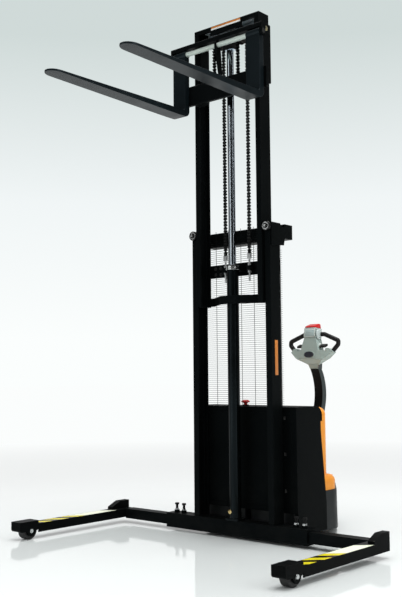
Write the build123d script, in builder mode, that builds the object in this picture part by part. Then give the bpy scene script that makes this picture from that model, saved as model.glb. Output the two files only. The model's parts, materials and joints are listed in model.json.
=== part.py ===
"""Double mast stacker with sliding straddle legs, drawn with the mast fully raised. Sizes in mm."""

import os
from math import cos, radians, sin

from build123d import *

# Clearances
gap = 0.5
run = 0.05

# Outer mast: two rolled channels with their mouths toward each other
outer_front = 102.5
outer_half = 305.5
outer_depth = 97.0
outer_web = 8.0
outer_flange = 41.0
flange_thick = 10.0
outer_top = 1875.0
outer_rear = outer_front + outer_depth

# Inner mast, nested inside the outer one and raised by its whole lift
lift = 1265.0
nest_gap = 7.0
inner_half = outer_half - outer_flange - nest_gap
inner_front = outer_front - 18.5
inner_depth = 101.5
inner_web = 8.0
inner_flange = 35.0
inner_rear = inner_front + inner_depth
inner_foot = outer_top - 480.0
inner_top = outer_top + lift + 26.0
cap_thick = 12.0
cap_lip = 16.0
cap_deep = 50.0
web_half = 125.0
web_drop = 48.0
head_plate = 5.0
plate_deep = 90.0

# Sheaves and chains
chain_x = 94.0
chain_wide = 24.0
chain_thick = 12.0
pitch_radius = 44.0
sheave_y = outer_front + 29.0
sheave_z = inner_top - 101.0
axle_radius = 12.5
plate_high = sheave_z + 39.0
plate_low = plate_high - 367.0
back_chain_y = sheave_y + pitch_radius
front_chain_y = sheave_y - pitch_radius

# Lift cylinder
cylinder_y = outer_front + 25.0
barrel_radius = 36.5
bore_radius = 30.0
rod_radius = 22.5
gland_radius = 44.0
gland_high = 30.0

# Chain anchor plate
beam_low = outer_top - 295.0
beam_high = beam_low + 80.0
beam_thick = 10.0
lug_low = beam_low + 25.0
lug_high = lug_low + 30.0
anchor_z = beam_high + 50.0
barrel_top = beam_low + 30.0

# Rollers
guide_radius = 29.0
guide_wide = 17.0
guide_pin = 10.0
guide_z = outer_top - 27.0
guide_x = inner_half + gap + guide_radius
mast_roller_radius = (outer_depth - 2 * flange_thick) / 2 - gap
mast_roller_y = outer_front + outer_depth / 2
mast_roller_z = inner_foot + 50.0
roller_pin = 14.0
carriage_roller_radius = (inner_depth - 2 * flange_thick) / 2 - gap
carriage_roller_y = inner_front + inner_depth / 2

# Forks and carriage
fork_length = 1067.0
fork_wide = 102.0
fork_thick = 40.0
fork_tip = 11.0
shank_rear = outer_front - 88.5
shank_front = shank_rear - fork_thick
fork_tip_y = shank_front - fork_length
shaft_radius = 15.0
shaft_y = shank_rear - fork_thick / 2
shaft_z = sheave_z - 76.0
eye_radius = 24.0
bar_half = 363.0
fork_x = bar_half - 70.0
bar_thick = 25.0
top_bar_low = shaft_z + eye_radius + 1.0
top_bar_high = top_bar_low + 27.0
lower_bar_high = shaft_z - 203.0
lower_bar_low = lower_bar_high - 124.0
fork_low = lower_bar_low - 73.0
lower_bar_front = shank_rear + gap
lower_bar_rear = lower_bar_front + bar_thick
hanger_x = 7.0
hanger_thick = 12.0
side_thick = 12.0
side_x = inner_half - inner_flange - 4.5

# Base sleeve and legs
sleeve_half = 535.0
sleeve_front = outer_front - 8.0
sleeve_deep = 100.0
sleeve_low = 18.0
sleeve_high = 106.0
sleeve_wall = 12.0
slide_gap = 1.0
slide_wall = 8.0
slide_inner = sleeve_half - 150.0
leg_x = 962.0
leg_wide = 84.0
leg_low = 38.0
leg_high = 91.0
leg_wall = 5.0
leg_rear = outer_front + 78.0
stop_long = 155.0
stop_high = 140.0
stop_slope = (72.0, 33.0)
load_radius = 51.0
load_wide = 56.0
load_y = outer_front - 774.0
load_axle_radius = 12.0
housing_front = load_y - load_radius - 37.0
housing_rear = load_y + load_radius
housing_low = 50.0
housing_high = 2 * load_radius + 7.0
cheek_radius = 32.0
bolt_radius = 8.0

# Body
panel = 5.0
body_half = 398.0
body_front = outer_front + 105.0
body_rear = outer_front + 376.0
body_top = 780.0
front_low = 165.0
roll = 60.0
body_bend = 22.0
roll_drop = 90.0
side_low = 42.0
fin_deep = 54.0
fin_high = 205.0
cover_half = 300.0
cover_rear = outer_front + 610.0
cover_high = body_top - 15.0
cover_corner = 70.0
cover_edge = 45.0
mesh_half = outer_half - 2.5
mesh_front = outer_rear + beam_thick
mesh_thick = 4.0
mesh_border = 10.0
mesh_bays = 6
mesh_rows = 42
mesh_wire = 4.0
tray_half = body_half - panel
tray_low = 60.0
tray_plate = 8.0
battery_high = 225.0
post_high = 16.0
shelf_z = tray_low + tray_plate + battery_high + post_high + 23.0

# Steering and drive
steer_y = outer_front + 700.0
drive_radius = 115.0
drive_wide = 75.0
bridge_low = 2 * drive_radius + 22.0
bridge_thick = 14.0
bridge_half = 180.0
king_radius = 110.0
skirt_low = 50.0
skirt_high = bridge_low + 34.0
dome_radius = 246.0
dome_low = skirt_high + 6.0
dome_high = dome_low + 108.0
skirt_radius = dome_radius + 16.0

# Tiller
tilt_y = outer_front + 860.0
tilt_z = dome_high + 55.0
tilt_pin = 14.0
arm_half = 33.0
neck_z = tilt_z + 551.0
bow_low = tilt_z + 290.0
bow_mid = tilt_z + 430.0
neck_y = outer_front + 918.0
head_tilt = -6.0
head_lean = radians(head_tilt)
head_forward = 56.0
head_thick = 76.0
head_half = 44.0
head_top = 264.0
box_low = 205.0
column_half = 66.0
column_front = head_thick / 2 - 3.0
chin_up = 62.0
shoulder_up = 136.0
wing_front = 8.0
wing_low = (168.0, 108.0)
wing_high = (143.0, 131.0)
grip_radius = 15.0
throttle_up = 150.0
throttle_radius = 8.0
estop_x = -50.0
estop_y = outer_front + 200.0
estop_stem = 11.0
estop_collar = 20.0
collar_high = 7.0


def channel_section(half, depth, web, flange, front):
    """Section of the right-hand channel, its web outside and its mouth toward the middle."""
    with BuildSketch() as section:
        with Locations((half, front)):
            Rectangle(flange, depth, align=(Align.MAX, Align.MIN))
        with Locations((half - web, front + flange_thick)):
            Rectangle(flange, depth - 2 * flange_thick, align=(Align.MAX, Align.MIN), mode=Mode.SUBTRACT)
        root = section.vertices().filter_by_position(Axis.X, half - web - 0.1, half - web + 0.1)
        fillet(root, 6.0)
    return section.sketch


# Base: cross sleeve with mast pads
with BuildPart() as base_sleeve:
    with BuildSketch(Plane.YZ.offset(-sleeve_half)):
        with Locations((sleeve_front, sleeve_low)):
            Rectangle(sleeve_deep, sleeve_high - sleeve_low, align=(Align.MIN, Align.MIN))
        with Locations((sleeve_front + sleeve_wall, sleeve_low + sleeve_wall)):
            Rectangle(
                sleeve_deep - 2 * sleeve_wall,
                sleeve_high - sleeve_low - 2 * sleeve_wall,
                align=(Align.MIN, Align.MIN),
                mode=Mode.SUBTRACT,
            )
    extrude(amount=2 * sleeve_half)
    bolt_y = sleeve_front + sleeve_deep / 2
    bolt_spots = [(sx * (sleeve_half - inset), bolt_y) for sx in (-1, 1) for inset in (105.0, 46.0)]
    with BuildSketch(Plane.XY.offset(sleeve_high)):
        with Locations(*bolt_spots):
            Circle(bolt_radius + 9.0)
    extrude(amount=14.0)
    with Locations(*[(x, y, sleeve_high) for x, y in bolt_spots]):
        Cylinder(bolt_radius + 0.5, 60.0, mode=Mode.SUBTRACT)

# Chassis: battery tray with shelf, and the stepped bridge that carries the drive
with BuildPart() as chassis_frame:
    with BuildSketch(Plane.XZ.offset(-(body_front + panel))):
        with BuildLine():
            Polyline(
                (-tray_half, shelf_z),
                (-tray_half, tray_low),
                (tray_half, tray_low),
                (tray_half, shelf_z),
            )
            offset(amount=tray_plate, side=Side.LEFT)
        make_face()
        with Locations((0, shelf_z - tray_plate / 2)):
            Rectangle(2 * tray_half, tray_plate)
    extrude(amount=-(body_rear - body_front - 2 * panel - body_bend))
    with BuildSketch(Plane.XY.offset(tray_low)):
        with Locations((0, sleeve_front + sleeve_deep)):
            Rectangle(
                2 * outer_half,
                body_front + 2 * panel - sleeve_front - sleeve_deep,
                align=(Align.CENTER, Align.MIN),
            )
    extrude(amount=tray_plate)
    with BuildSketch(Plane.YZ.offset(-bridge_half)):
        with BuildLine():
            Polyline(
                (body_rear - 60.0, tray_low),
                (body_rear + 30.0, tray_low),
                (body_rear + 30.0, bridge_low + bridge_thick),
                (steer_y, bridge_low + bridge_thick),
                (steer_y, bridge_low),
                (body_rear + 42.0, bridge_low),
                (body_rear + 42.0, tray_low - bridge_thick),
                (body_rear - 60.0, tray_low - bridge_thick),
                close=True,
            )
        make_face()
    extrude(amount=2 * bridge_half)
    with BuildSketch(Plane.XY.offset(bridge_low)):
        with Locations((0, steer_y)):
            Circle(bridge_half)
            Circle(king_radius + run, mode=Mode.SUBTRACT)
    extrude(amount=bridge_thick)
    with Locations((0, steer_y, bridge_low)):
        Cylinder(king_radius + run, 3 * bridge_thick, mode=Mode.SUBTRACT)

# Outer mast
with BuildPart() as outer_mast_right:
    with BuildSketch(Plane.XY.offset(sleeve_high)):
        add(channel_section(outer_half, outer_depth, outer_web, outer_flange, outer_front))
    extrude(amount=outer_top - sleeve_high)
    with BuildSketch(Plane.XZ.offset(-outer_front)):
        with Locations((guide_x, guide_z)):
            Circle(guide_pin)
    extrude(amount=guide_wide + 3.0 + gap)
    with BuildSketch(Plane.XZ.offset(-outer_front + guide_wide + 3.0 + gap)):
        with Locations((guide_x, guide_z)):
            RegularPolygon(guide_pin + 5.0, 6)
    extrude(amount=6.0)

with BuildPart() as outer_mast_left:
    mirror(outer_mast_right.part, about=Plane.YZ)

with BuildPart() as guide_roller_right:
    with BuildSketch(Plane.XZ.offset(-outer_front + 3.0)):
        with Locations((guide_x, guide_z)):
            Circle(guide_radius)
            Circle(guide_pin + run, mode=Mode.SUBTRACT)
    extrude(amount=guide_wide)
    rims = guide_roller_right.edges().filter_by(GeomType.CIRCLE).group_by(SortBy.RADIUS)[-1]
    chamfer(rims, 2.0)

with BuildPart() as guide_roller_left:
    mirror(guide_roller_right.part, about=Plane.YZ)

# Rear tie at the head of the outer mast: two side brackets and an open channel between them
tie_rear = outer_front + 221.0
tie_front = outer_front + 143.0
tie_high = outer_top - 2.0
tie_low = tie_high - 88.0
with BuildPart() as mast_top_tie:
    with BuildSketch(Plane.YZ.offset(outer_half)):
        with BuildLine():
            Polyline(
                (outer_front + 8.0, tie_low - 50.0),
                (tie_front - 9.0, tie_low - 42.0),
                (tie_front, tie_low),
                (tie_rear, tie_low),
                (tie_rear, tie_high),
                (tie_front, tie_high),
                (tie_front - 4.0, tie_high - 20.0),
                (tie_front - 33.0, tie_high - 20.0),
                (outer_rear, tie_high),
                (outer_front + 8.0, tie_high),
                close=True,
            )
        make_face()
    extrude(amount=6.0)
    mirror(about=Plane.YZ)
    with BuildSketch(Plane.YZ.offset(-outer_half)):
        with BuildLine():
            Polyline(
                (tie_rear, tie_low),
                (tie_front, tie_low),
                (tie_front, tie_high),
                (tie_rear, tie_high),
            )
            offset(amount=6.0, side=Side.RIGHT)
        make_face()
    extrude(amount=2 * outer_half)

# Chain anchor cross plate, with lugs and the saddle that steadies the cylinder
with BuildPart() as chain_anchor_beam:
    with BuildSketch(Plane.XZ.offset(-outer_rear)):
        with Locations((0, (beam_low + beam_high) / 2)):
            RectangleRounded(2 * outer_half - 10.0, beam_high - beam_low, 8.0)
    extrude(amount=-beam_thick)
    with BuildSketch(Plane.XY.offset(lug_low)):
        with Locations((-chain_x, outer_rear), (chain_x, outer_rear)):
            Rectangle(40.0, 2 * (outer_rear - back_chain_y) - 4.0)
        with Locations((-chain_x, back_chain_y), (chain_x, back_chain_y)):
            Circle(20.0)
            Circle(6.5, mode=Mode.SUBTRACT)
        with Locations((0, outer_rear)):
            Rectangle(90.0, 2 * (outer_rear - cylinder_y) - 20.0)
        with Locations((0, outer_rear + 100.0)):
            Rectangle(400.0, 200.0, mode=Mode.SUBTRACT)
        with Locations((0, cylinder_y)):
            Circle(gland_radius + gap, mode=Mode.SUBTRACT)
    extrude(amount=lug_high - lug_low)

with BuildPart() as chain_anchor_rods:
    with BuildSketch(Plane.XY.offset(lug_low - 65.0)):
        with Locations((-chain_x, back_chain_y), (chain_x, back_chain_y)):
            Circle(6.0)
    extrude(amount=anchor_z - 30.0 - lug_low + 65.0)
    for nut_z in (lug_low - 12.0, lug_high):
        with BuildSketch(Plane.XY.offset(nut_z)):
            with Locations((-chain_x, back_chain_y), (chain_x, back_chain_y)):
                RegularPolygon(11.0, 6)
        extrude(amount=12.0)
    with BuildSketch(Plane.XY.offset(anchor_z - 32.0)):
        with Locations((-chain_x, back_chain_y), (chain_x, back_chain_y)):
            RectangleRounded(chain_wide, chain_thick + 6.0, 3.0)
    extrude(amount=32.0)

with BuildPart() as chain_back_runs:
    with BuildSketch(Plane.XY.offset(anchor_z)):
        with Locations((-chain_x, back_chain_y), (chain_x, back_chain_y)):
            Rectangle(chain_wide, chain_thick)
    extrude(amount=sheave_z - gap - anchor_z)

# Lift cylinder
barrel_foot = sleeve_high + 12.0
with BuildPart() as cylinder_barrel:
    with BuildSketch(Plane.XY.offset(sleeve_high)):
        with Locations((0, cylinder_y)):
            RectangleRounded(96.0, 84.0, 12.0)
    extrude(amount=barrel_foot - sleeve_high)
    with BuildSketch(Plane.XY.offset(barrel_foot)):
        with Locations((0, cylinder_y)):
            Circle(barrel_radius)
    extrude(amount=barrel_top - barrel_foot)
    with BuildSketch(Plane.YZ):
        with Locations((cylinder_y, sleeve_high + 48.0)):
            Circle(13.0)
    extrude(amount=-(barrel_radius + 10.0))
    with BuildSketch(Plane.XY.offset(barrel_foot + 10.0)):
        with Locations((0, cylinder_y)):
            Circle(bore_radius)
    extrude(amount=barrel_top - barrel_foot, mode=Mode.SUBTRACT)

with BuildPart() as cylinder_gland:
    with BuildSketch(Plane.XY.offset(barrel_top)):
        with Locations((0, cylinder_y)):
            Circle(gland_radius)
            Circle(rod_radius + run, mode=Mode.SUBTRACT)
    extrude(amount=gland_high)
    crown = cylinder_gland.faces().sort_by(Axis.Z)[-1].edges().sort_by(SortBy.RADIUS)[-1]
    chamfer(crown, 4.0)

piston_low = barrel_top - 120.0
with BuildPart() as cylinder_rod:
    with BuildSketch(Plane.XY.offset(piston_low)):
        with Locations((0, cylinder_y)):
            Circle(bore_radius - run)
    extrude(amount=60.0)
    with BuildSketch(Plane.XY.offset(piston_low + 60.0)):
        with Locations((0, cylinder_y)):
            Circle(rod_radius)
    extrude(amount=sheave_z - 72.0 - piston_low - 60.0)
    with BuildSketch(Plane.YZ.offset(-37.0)):
        with Locations((cylinder_y + 2.0, sheave_z - 72.0)):
            Rectangle(56.0, 72.0, align=(Align.CENTER, Align.MIN))
        with Locations((sheave_y, sheave_z)):
            Circle(axle_radius, mode=Mode.SUBTRACT)
    extrude(amount=74.0)

# Inner mast: channel and outside head plate welded together
with BuildPart() as inner_mast_right:
    with BuildSketch(Plane.XY.offset(inner_foot)):
        add(channel_section(inner_half, inner_depth, inner_web, inner_flange, inner_front))
    extrude(amount=inner_top - cap_thick - inner_foot)
    with BuildSketch(Plane.YZ.offset(inner_half)):
        with Locations((outer_front + 50.0, (plate_low + plate_high) / 2)):
            RectangleRounded(plate_deep, plate_high - plate_low, 8.0)
    extrude(amount=head_plate)
    with BuildSketch(Plane.YZ.offset(inner_half - inner_web - 1.0)):
        with Locations((sheave_y, sheave_z)):
            Circle(axle_radius + run)
    extrude(amount=inner_web + head_plate + 2.0, mode=Mode.SUBTRACT)
    with BuildSketch(Plane.YZ.offset(inner_half)):
        with Locations((mast_roller_y, mast_roller_z)):
            Circle(roller_pin)
    extrude(amount=outer_half - outer_web - inner_half - 4.0)

with BuildPart() as inner_mast_left:
    mirror(inner_mast_right.part, about=Plane.YZ)

with BuildPart() as mast_roller_right:
    with BuildSketch(Plane.YZ.offset(inner_half + nest_gap + 2.0)):
        with Locations((mast_roller_y, mast_roller_z)):
            Circle(mast_roller_radius)
            Circle(roller_pin + run, mode=Mode.SUBTRACT)
    extrude(amount=outer_half - outer_web - inner_half - nest_gap - 7.0)

with BuildPart() as mast_roller_left:
    mirror(mast_roller_right.part, about=Plane.YZ)

# Head beam: a cap over both uprights, narrower between them, with a web hanging from its front lip
with BuildPart() as mast_head_beam:
    with BuildSketch(Plane.XY.offset(inner_top - cap_thick)):
        with Locations((0, inner_front + inner_depth / 2)):
            Rectangle(2 * inner_half, inner_depth)
        with Locations((0, inner_rear)):
            Rectangle(
                2 * (inner_half - inner_flange),
                inner_depth - cap_deep,
                align=(Align.CENTER, Align.MAX),
                mode=Mode.SUBTRACT,
            )
    extrude(amount=cap_thick)
    with BuildSketch(Plane.XZ.offset(-inner_front)):
        with Locations((0, inner_top - cap_thick)):
            Rectangle(2 * (inner_half - inner_flange), cap_lip, align=(Align.CENTER, Align.MAX))
            Rectangle(2 * web_half, web_drop, align=(Align.CENTER, Align.MAX))
    extrude(amount=-flange_thick)
    chamfer(mast_head_beam.edges().filter_by(Axis.X).group_by(Axis.Z)[-1], 3.0)

# Foot tie: a strap cranked forward so that it passes in front of the cylinder
with BuildPart() as mast_foot_tie:
    with BuildSketch(Plane.XY.offset(inner_foot + 5.0)):
        with BuildLine():
            FilletPolyline(
                (-inner_half + 2.0, inner_rear),
                (57.0 - inner_half, inner_rear),
                (-60.0, inner_front - 8.0),
                (60.0, inner_front - 8.0),
                (inner_half - 57.0, inner_rear),
                (inner_half - 2.0, inner_rear),
                radius=10.0,
            )
            offset(amount=8.0, side=Side.LEFT)
        make_face()
    extrude(amount=52.0)

# Sheave axle with its nuts, sheaves and the chain lying over them
with BuildPart() as sheave_axle:
    with BuildSketch(Plane.YZ.offset(-inner_half - head_plate - 20.0)):
        with Locations((sheave_y, sheave_z)):
            Circle(axle_radius)
    extrude(amount=2 * (inner_half + head_plate + 20.0))
    with BuildSketch(Plane.YZ.offset(inner_half + head_plate)):
        with Locations((sheave_y, sheave_z)):
            RegularPolygon(18.0, 6)
    extrude(amount=16.0)
    with BuildSketch(Plane.YZ.offset(-inner_half - head_plate)):
        with Locations((sheave_y, sheave_z)):
            RegularPolygon(18.0, 6)
    extrude(amount=-16.0)

groove = pitch_radius - chain_thick / 2 - gap
half_groove = chain_wide / 2 + gap
with BuildPart() as chain_sheave_right:
    with BuildSketch(Plane(origin=(chain_x, sheave_y, sheave_z), x_dir=(1, 0, 0), z_dir=(0, -1, 0))):
        with BuildLine():
            Polyline(
                (-half_groove - 5.0, axle_radius + run),
                (-half_groove - 5.0, pitch_radius + 8.0),
                (-half_groove - 1.5, pitch_radius + 8.0),
                (-half_groove, pitch_radius + 4.0),
                (-half_groove, groove),
                (half_groove, groove),
                (half_groove, pitch_radius + 4.0),
                (half_groove + 1.5, pitch_radius + 8.0),
                (half_groove + 5.0, pitch_radius + 8.0),
                (half_groove + 5.0, axle_radius + run),
                close=True,
            )
        make_face()
    revolve(axis=Axis((0, sheave_y, sheave_z), (1, 0, 0)))

with BuildPart() as chain_sheave_left:
    mirror(chain_sheave_right.part, about=Plane.YZ)

with BuildPart() as chain_wraps:
    for wrap_x in (-chain_x, chain_x):
        with BuildSketch(Plane.YZ.offset(wrap_x - chain_wide / 2)):
            with Locations((sheave_y, sheave_z)):
                Circle(pitch_radius + chain_thick / 2)
                Circle(pitch_radius - chain_thick / 2, mode=Mode.SUBTRACT)
                Rectangle(200.0, 100.0, align=(Align.CENTER, Align.MAX), mode=Mode.SUBTRACT)
        extrude(amount=chain_wide)

# Carriage
with BuildPart() as carriage_top_bar:
    with BuildSketch(Plane.XZ.offset(-shank_rear)):
        with BuildLine():
            Polyline(
                (-bar_half, top_bar_high),
                (-bar_half, shaft_z - 22.0),
                (-bar_half + 16.0, shaft_z - 22.0),
                (-bar_half + 16.0, top_bar_low),
                (bar_half - 16.0, top_bar_low),
                (bar_half - 16.0, shaft_z - 22.0),
                (bar_half, shaft_z - 22.0),
                (bar_half, top_bar_high),
                close=True,
            )
        make_face()
    extrude(amount=fork_thick)
    with BuildSketch(Plane.YZ.offset(-bar_half)):
        with Locations((shaft_y, shaft_z)):
            Circle(shaft_radius + run)
    extrude(amount=2 * bar_half, mode=Mode.SUBTRACT)
    chamfer(carriage_top_bar.edges().filter_by(Axis.X).group_by(Axis.Z)[-1], 3.0)

with BuildPart() as carriage_lower_bar:
    with BuildSketch(Plane.YZ.offset(-bar_half)):
        with Locations((lower_bar_front, lower_bar_low)):
            Rectangle(bar_thick, lower_bar_high - lower_bar_low, align=(Align.MIN, Align.MIN))
    extrude(amount=2 * bar_half)
    chamfer(carriage_lower_bar.edges().filter_by(Axis.X), 3.0)
    with BuildSketch(Plane.YZ.offset(hanger_x - hanger_thick / 2)):
        with BuildLine():
            Polyline(
                (lower_bar_front + 2.0, lower_bar_high - 20.0),
                (shaft_y - eye_radius, shaft_z - 20.0),
                (shaft_y - eye_radius, shaft_z),
                (shaft_y + eye_radius, shaft_z),
                (shaft_y + eye_radius + 6.0, shaft_z - 60.0),
                (lower_bar_rear - 2.0, lower_bar_high - 20.0),
                close=True,
            )
        make_face()
        with Locations((shaft_y, shaft_z)):
            Circle(eye_radius)
            Circle(shaft_radius + run, mode=Mode.SUBTRACT)
    extrude(amount=hanger_thick)
    with BuildSketch(Plane.XY.offset(lower_bar_high - 20.0)):
        for lug_x in (-chain_x, chain_x):
            with Locations((lug_x, lower_bar_rear - 5.0)):
                Rectangle(34.0, front_chain_y + 14.0 - lower_bar_rear + 5.0, align=(Align.CENTER, Align.MIN))
    extrude(amount=16.0)

with BuildPart() as carriage_side_right:
    with BuildSketch(Plane.YZ.offset(side_x - side_thick)):
        with BuildLine():
            Polyline(
                (shank_rear, top_bar_low),
                (shank_rear, top_bar_high),
                (inner_rear - 18.0, top_bar_high),
                (inner_rear - 18.0, lower_bar_low + 40.0),
                (inner_front, lower_bar_low),
                (lower_bar_rear, lower_bar_low),
                (lower_bar_rear, lower_bar_high),
                (inner_front, lower_bar_high),
                (inner_front, top_bar_low),
                close=True,
            )
        make_face()
    extrude(amount=side_thick)

with BuildPart() as carriage_side_left:
    mirror(carriage_side_right.part, about=Plane.YZ)

roller_spots = [(carriage_roller_y, lower_bar_low + 100.0), (carriage_roller_y, sheave_z - 66.0)]
with BuildPart() as carriage_rollers:
    with BuildSketch(Plane.YZ.offset(side_x)):
        with Locations(*roller_spots):
            Circle(roller_pin)
    extrude(amount=7.0)
    with BuildSketch(Plane.YZ.offset(side_x + 7.0)):
        with Locations(*roller_spots):
            Circle(carriage_roller_radius)
    extrude(amount=inner_half - inner_web - side_x - 7.0 - 4.0)
    mirror(about=Plane.YZ)

with BuildPart() as fork_shaft:
    with BuildSketch(Plane.YZ.offset(-bar_half)):
        with Locations((shaft_y, shaft_z)):
            Circle(shaft_radius)
    extrude(amount=2 * bar_half)

with BuildPart() as chain_front_runs:
    with BuildSketch(Plane.XY.offset(lower_bar_high - 4.0)):
        with Locations((-chain_x, front_chain_y), (chain_x, front_chain_y)):
            Rectangle(chain_wide, chain_thick)
    extrude(amount=sheave_z - gap - lower_bar_high + 4.0)

# Forks: tapered blade and shank from one bent bar, with an eye on the shaft
with BuildPart() as fork_right:
    with BuildSketch(Plane.YZ.offset(fork_x)):
        with BuildLine():
            Polyline(
                (shank_rear, shaft_z),
                (shank_rear, fork_low),
                (shank_front - 60.0, fork_low),
                (fork_tip_y, fork_low + fork_thick - fork_tip),
                (fork_tip_y, fork_low + fork_thick),
                (shank_front, fork_low + fork_thick),
                (shank_front, shaft_z),
                close=True,
            )
        face = make_face()
        heel = face.vertices().sort_by_distance((fork_x, shank_rear, fork_low))[0]
        crook = face.vertices().sort_by_distance((fork_x, shank_front, fork_low + fork_thick))[0]
        fillet(heel, 38.0)
        fillet(crook, 14.0)
    extrude(amount=fork_wide / 2, both=True)
    with BuildSketch(Plane.XY.offset(fork_low)):
        with BuildLine():
            Polyline(
                (fork_x - fork_wide / 2, shank_rear),
                (fork_x + fork_wide / 2, shank_rear),
                (fork_x + fork_wide / 2, fork_tip_y + 150.0),
                (fork_x + 22.0, fork_tip_y),
                (fork_x - 22.0, fork_tip_y),
                (fork_x - fork_wide / 2, fork_tip_y + 150.0),
                close=True,
            )
        plan = make_face()
        fillet(plan.vertices().group_by(Axis.Y)[0], 20.0)
    extrude(amount=shaft_z + eye_radius - fork_low, mode=Mode.INTERSECT)
    with BuildSketch(Plane.YZ.offset(fork_x)):
        with Locations((shaft_y, shaft_z)):
            Circle(eye_radius)
    extrude(amount=fork_wide / 2, both=True)
    with BuildSketch(Plane.YZ.offset(fork_x)):
        with Locations((shaft_y, shaft_z)):
            Circle(shaft_radius + run)
    extrude(amount=fork_wide, both=True, mode=Mode.SUBTRACT)

with BuildPart() as fork_left:
    mirror(fork_right.part, about=Plane.YZ)

# Legs: an open-bottomed channel, a wheel housing in front and a raised stop along the outer half
slide_front = sleeve_front + sleeve_wall + slide_gap
slide_deep = sleeve_deep - 2 * sleeve_wall - 2 * slide_gap
slide_low = sleeve_low + sleeve_wall + slide_gap
slide_high = sleeve_high - sleeve_wall - slide_gap
with BuildPart() as leg_beam_right:
    with BuildSketch(Plane.XZ.offset(-leg_rear)):
        with BuildLine():
            Polyline(
                (leg_x - leg_wide / 2, leg_low),
                (leg_x - leg_wide / 2, leg_high),
                (leg_x + leg_wide / 2, leg_high),
                (leg_x + leg_wide / 2, leg_low),
            )
            offset(amount=leg_wall, side=Side.RIGHT)
        make_face()
    extrude(amount=leg_rear - housing_rear)
    with BuildSketch(Plane.YZ.offset(leg_x + leg_wide / 2)):
        with BuildLine():
            Polyline(
                (leg_rear, leg_low),
                (leg_rear, stop_high),
                (leg_rear - stop_long + stop_slope[0], stop_high),
                (leg_rear - stop_long, stop_high - stop_slope[1]),
                (leg_rear - stop_long, leg_low),
                close=True,
            )
        make_face()
    extrude(amount=-leg_wide / 2)
    with BuildSketch(Plane.XZ.offset(-leg_rear)):
        with Locations((leg_x, leg_low)):
            Rectangle(leg_wide, leg_high - leg_low, align=(Align.CENTER, Align.MIN))
    extrude(amount=leg_wall)
    with BuildSketch(Plane.YZ.offset(leg_x)):
        with Locations(((housing_front + housing_rear) / 2, (housing_low + housing_high) / 2)):
            shell_side = Rectangle(housing_rear - housing_front, housing_high - housing_low)
        fillet(shell_side.vertices().group_by(Axis.Y)[0], 16.0)
        with Locations((load_y, load_radius)):
            Circle(cheek_radius)
    extrude(amount=leg_wide / 2, both=True)
    with BuildSketch(Plane.YZ.offset(leg_x)):
        with Locations((load_y, load_radius)):
            Circle(load_radius + 2.0)
        with Locations((load_y, load_radius)):
            Rectangle(2 * load_radius + 4.0, load_radius + 5.0, align=(Align.CENTER, Align.MAX))
    extrude(amount=load_wide / 2 + 2.0, both=True, mode=Mode.SUBTRACT)
    with BuildSketch(Plane.YZ.offset(leg_x)):
        with Locations((load_y, load_radius)):
            Circle(load_axle_radius)
    extrude(amount=leg_wide, both=True, mode=Mode.SUBTRACT)

with BuildPart() as leg_beam_left:
    mirror(leg_beam_right.part, about=Plane.YZ)

with BuildPart() as leg_slide_right:
    with BuildSketch(Plane.YZ.offset(slide_inner)):
        with Locations((slide_front, slide_low)):
            Rectangle(slide_deep, slide_high - slide_low, align=(Align.MIN, Align.MIN))
        with Locations((slide_front + slide_wall, slide_low + slide_wall)):
            Rectangle(
                slide_deep - 2 * slide_wall,
                slide_high - slide_low - 2 * slide_wall,
                align=(Align.MIN, Align.MIN),
                mode=Mode.SUBTRACT,
            )
    extrude(amount=leg_x - leg_wide / 2 - slide_inner)

with BuildPart() as leg_slide_left:
    mirror(leg_slide_right.part, about=Plane.YZ)

with BuildPart() as load_axle_right:
    with BuildSketch(Plane.YZ.offset(leg_x)):
        with Locations((load_y, load_radius)):
            Circle(load_axle_radius)
    extrude(amount=leg_wide / 2, both=True)
    with BuildSketch(Plane.YZ.offset(leg_x + leg_wide / 2)):
        with Locations((load_y, load_radius)):
            Circle(load_axle_radius - 1.0)
    extrude(amount=4.0)

with BuildPart() as load_axle_left:
    mirror(load_axle_right.part, about=Plane.YZ)

with BuildPart() as load_wheel_right:
    with BuildSketch(Plane.YZ.offset(leg_x)):
        with Locations((load_y, load_radius)):
            Circle(load_radius)
            Circle(load_axle_radius + run, mode=Mode.SUBTRACT)
    extrude(amount=load_wide / 2, both=True)
    tread = load_wheel_right.edges().filter_by(GeomType.CIRCLE).group_by(SortBy.RADIUS)[-1]
    chamfer(tread, 4.0)

with BuildPart() as load_wheel_left:
    mirror(load_wheel_right.part, about=Plane.YZ)

with BuildPart() as leg_lock_bolts:
    with BuildSketch(Plane.XY.offset(slide_high + gap)):
        with Locations(*bolt_spots):
            Circle(bolt_radius)
    extrude(amount=sleeve_high + 48.0 - slide_high - gap)
    with BuildSketch(Plane.XY.offset(sleeve_high + 48.0)):
        with Locations(*bolt_spots):
            RegularPolygon(bolt_radius + 6.0, 6)
    extrude(amount=11.0)
    with BuildSketch(Plane.XY.offset(sleeve_high + 14.0)):
        with Locations(*bolt_spots):
            RegularPolygon(bolt_radius + 6.0, 6)
    extrude(amount=10.0)

# Wire guard between mast and operator
mesh_low = body_top
mesh_high = outer_top + 5.0
bay = (2 * mesh_half - 2 * mesh_border) / mesh_bays
row = (mesh_high - mesh_low - 2 * mesh_border) / mesh_rows
with BuildPart() as mesh_guard:
    with BuildSketch(Plane.XZ.offset(-mesh_front)):
        with Locations((0, (mesh_low + mesh_high) / 2)):
            Rectangle(2 * mesh_half, mesh_high - mesh_low)
            with GridLocations(bay, row, mesh_bays, mesh_rows):
                Rectangle(bay - mesh_wire, row - mesh_wire, mode=Mode.SUBTRACT)
    extrude(amount=-mesh_thick)

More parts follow.
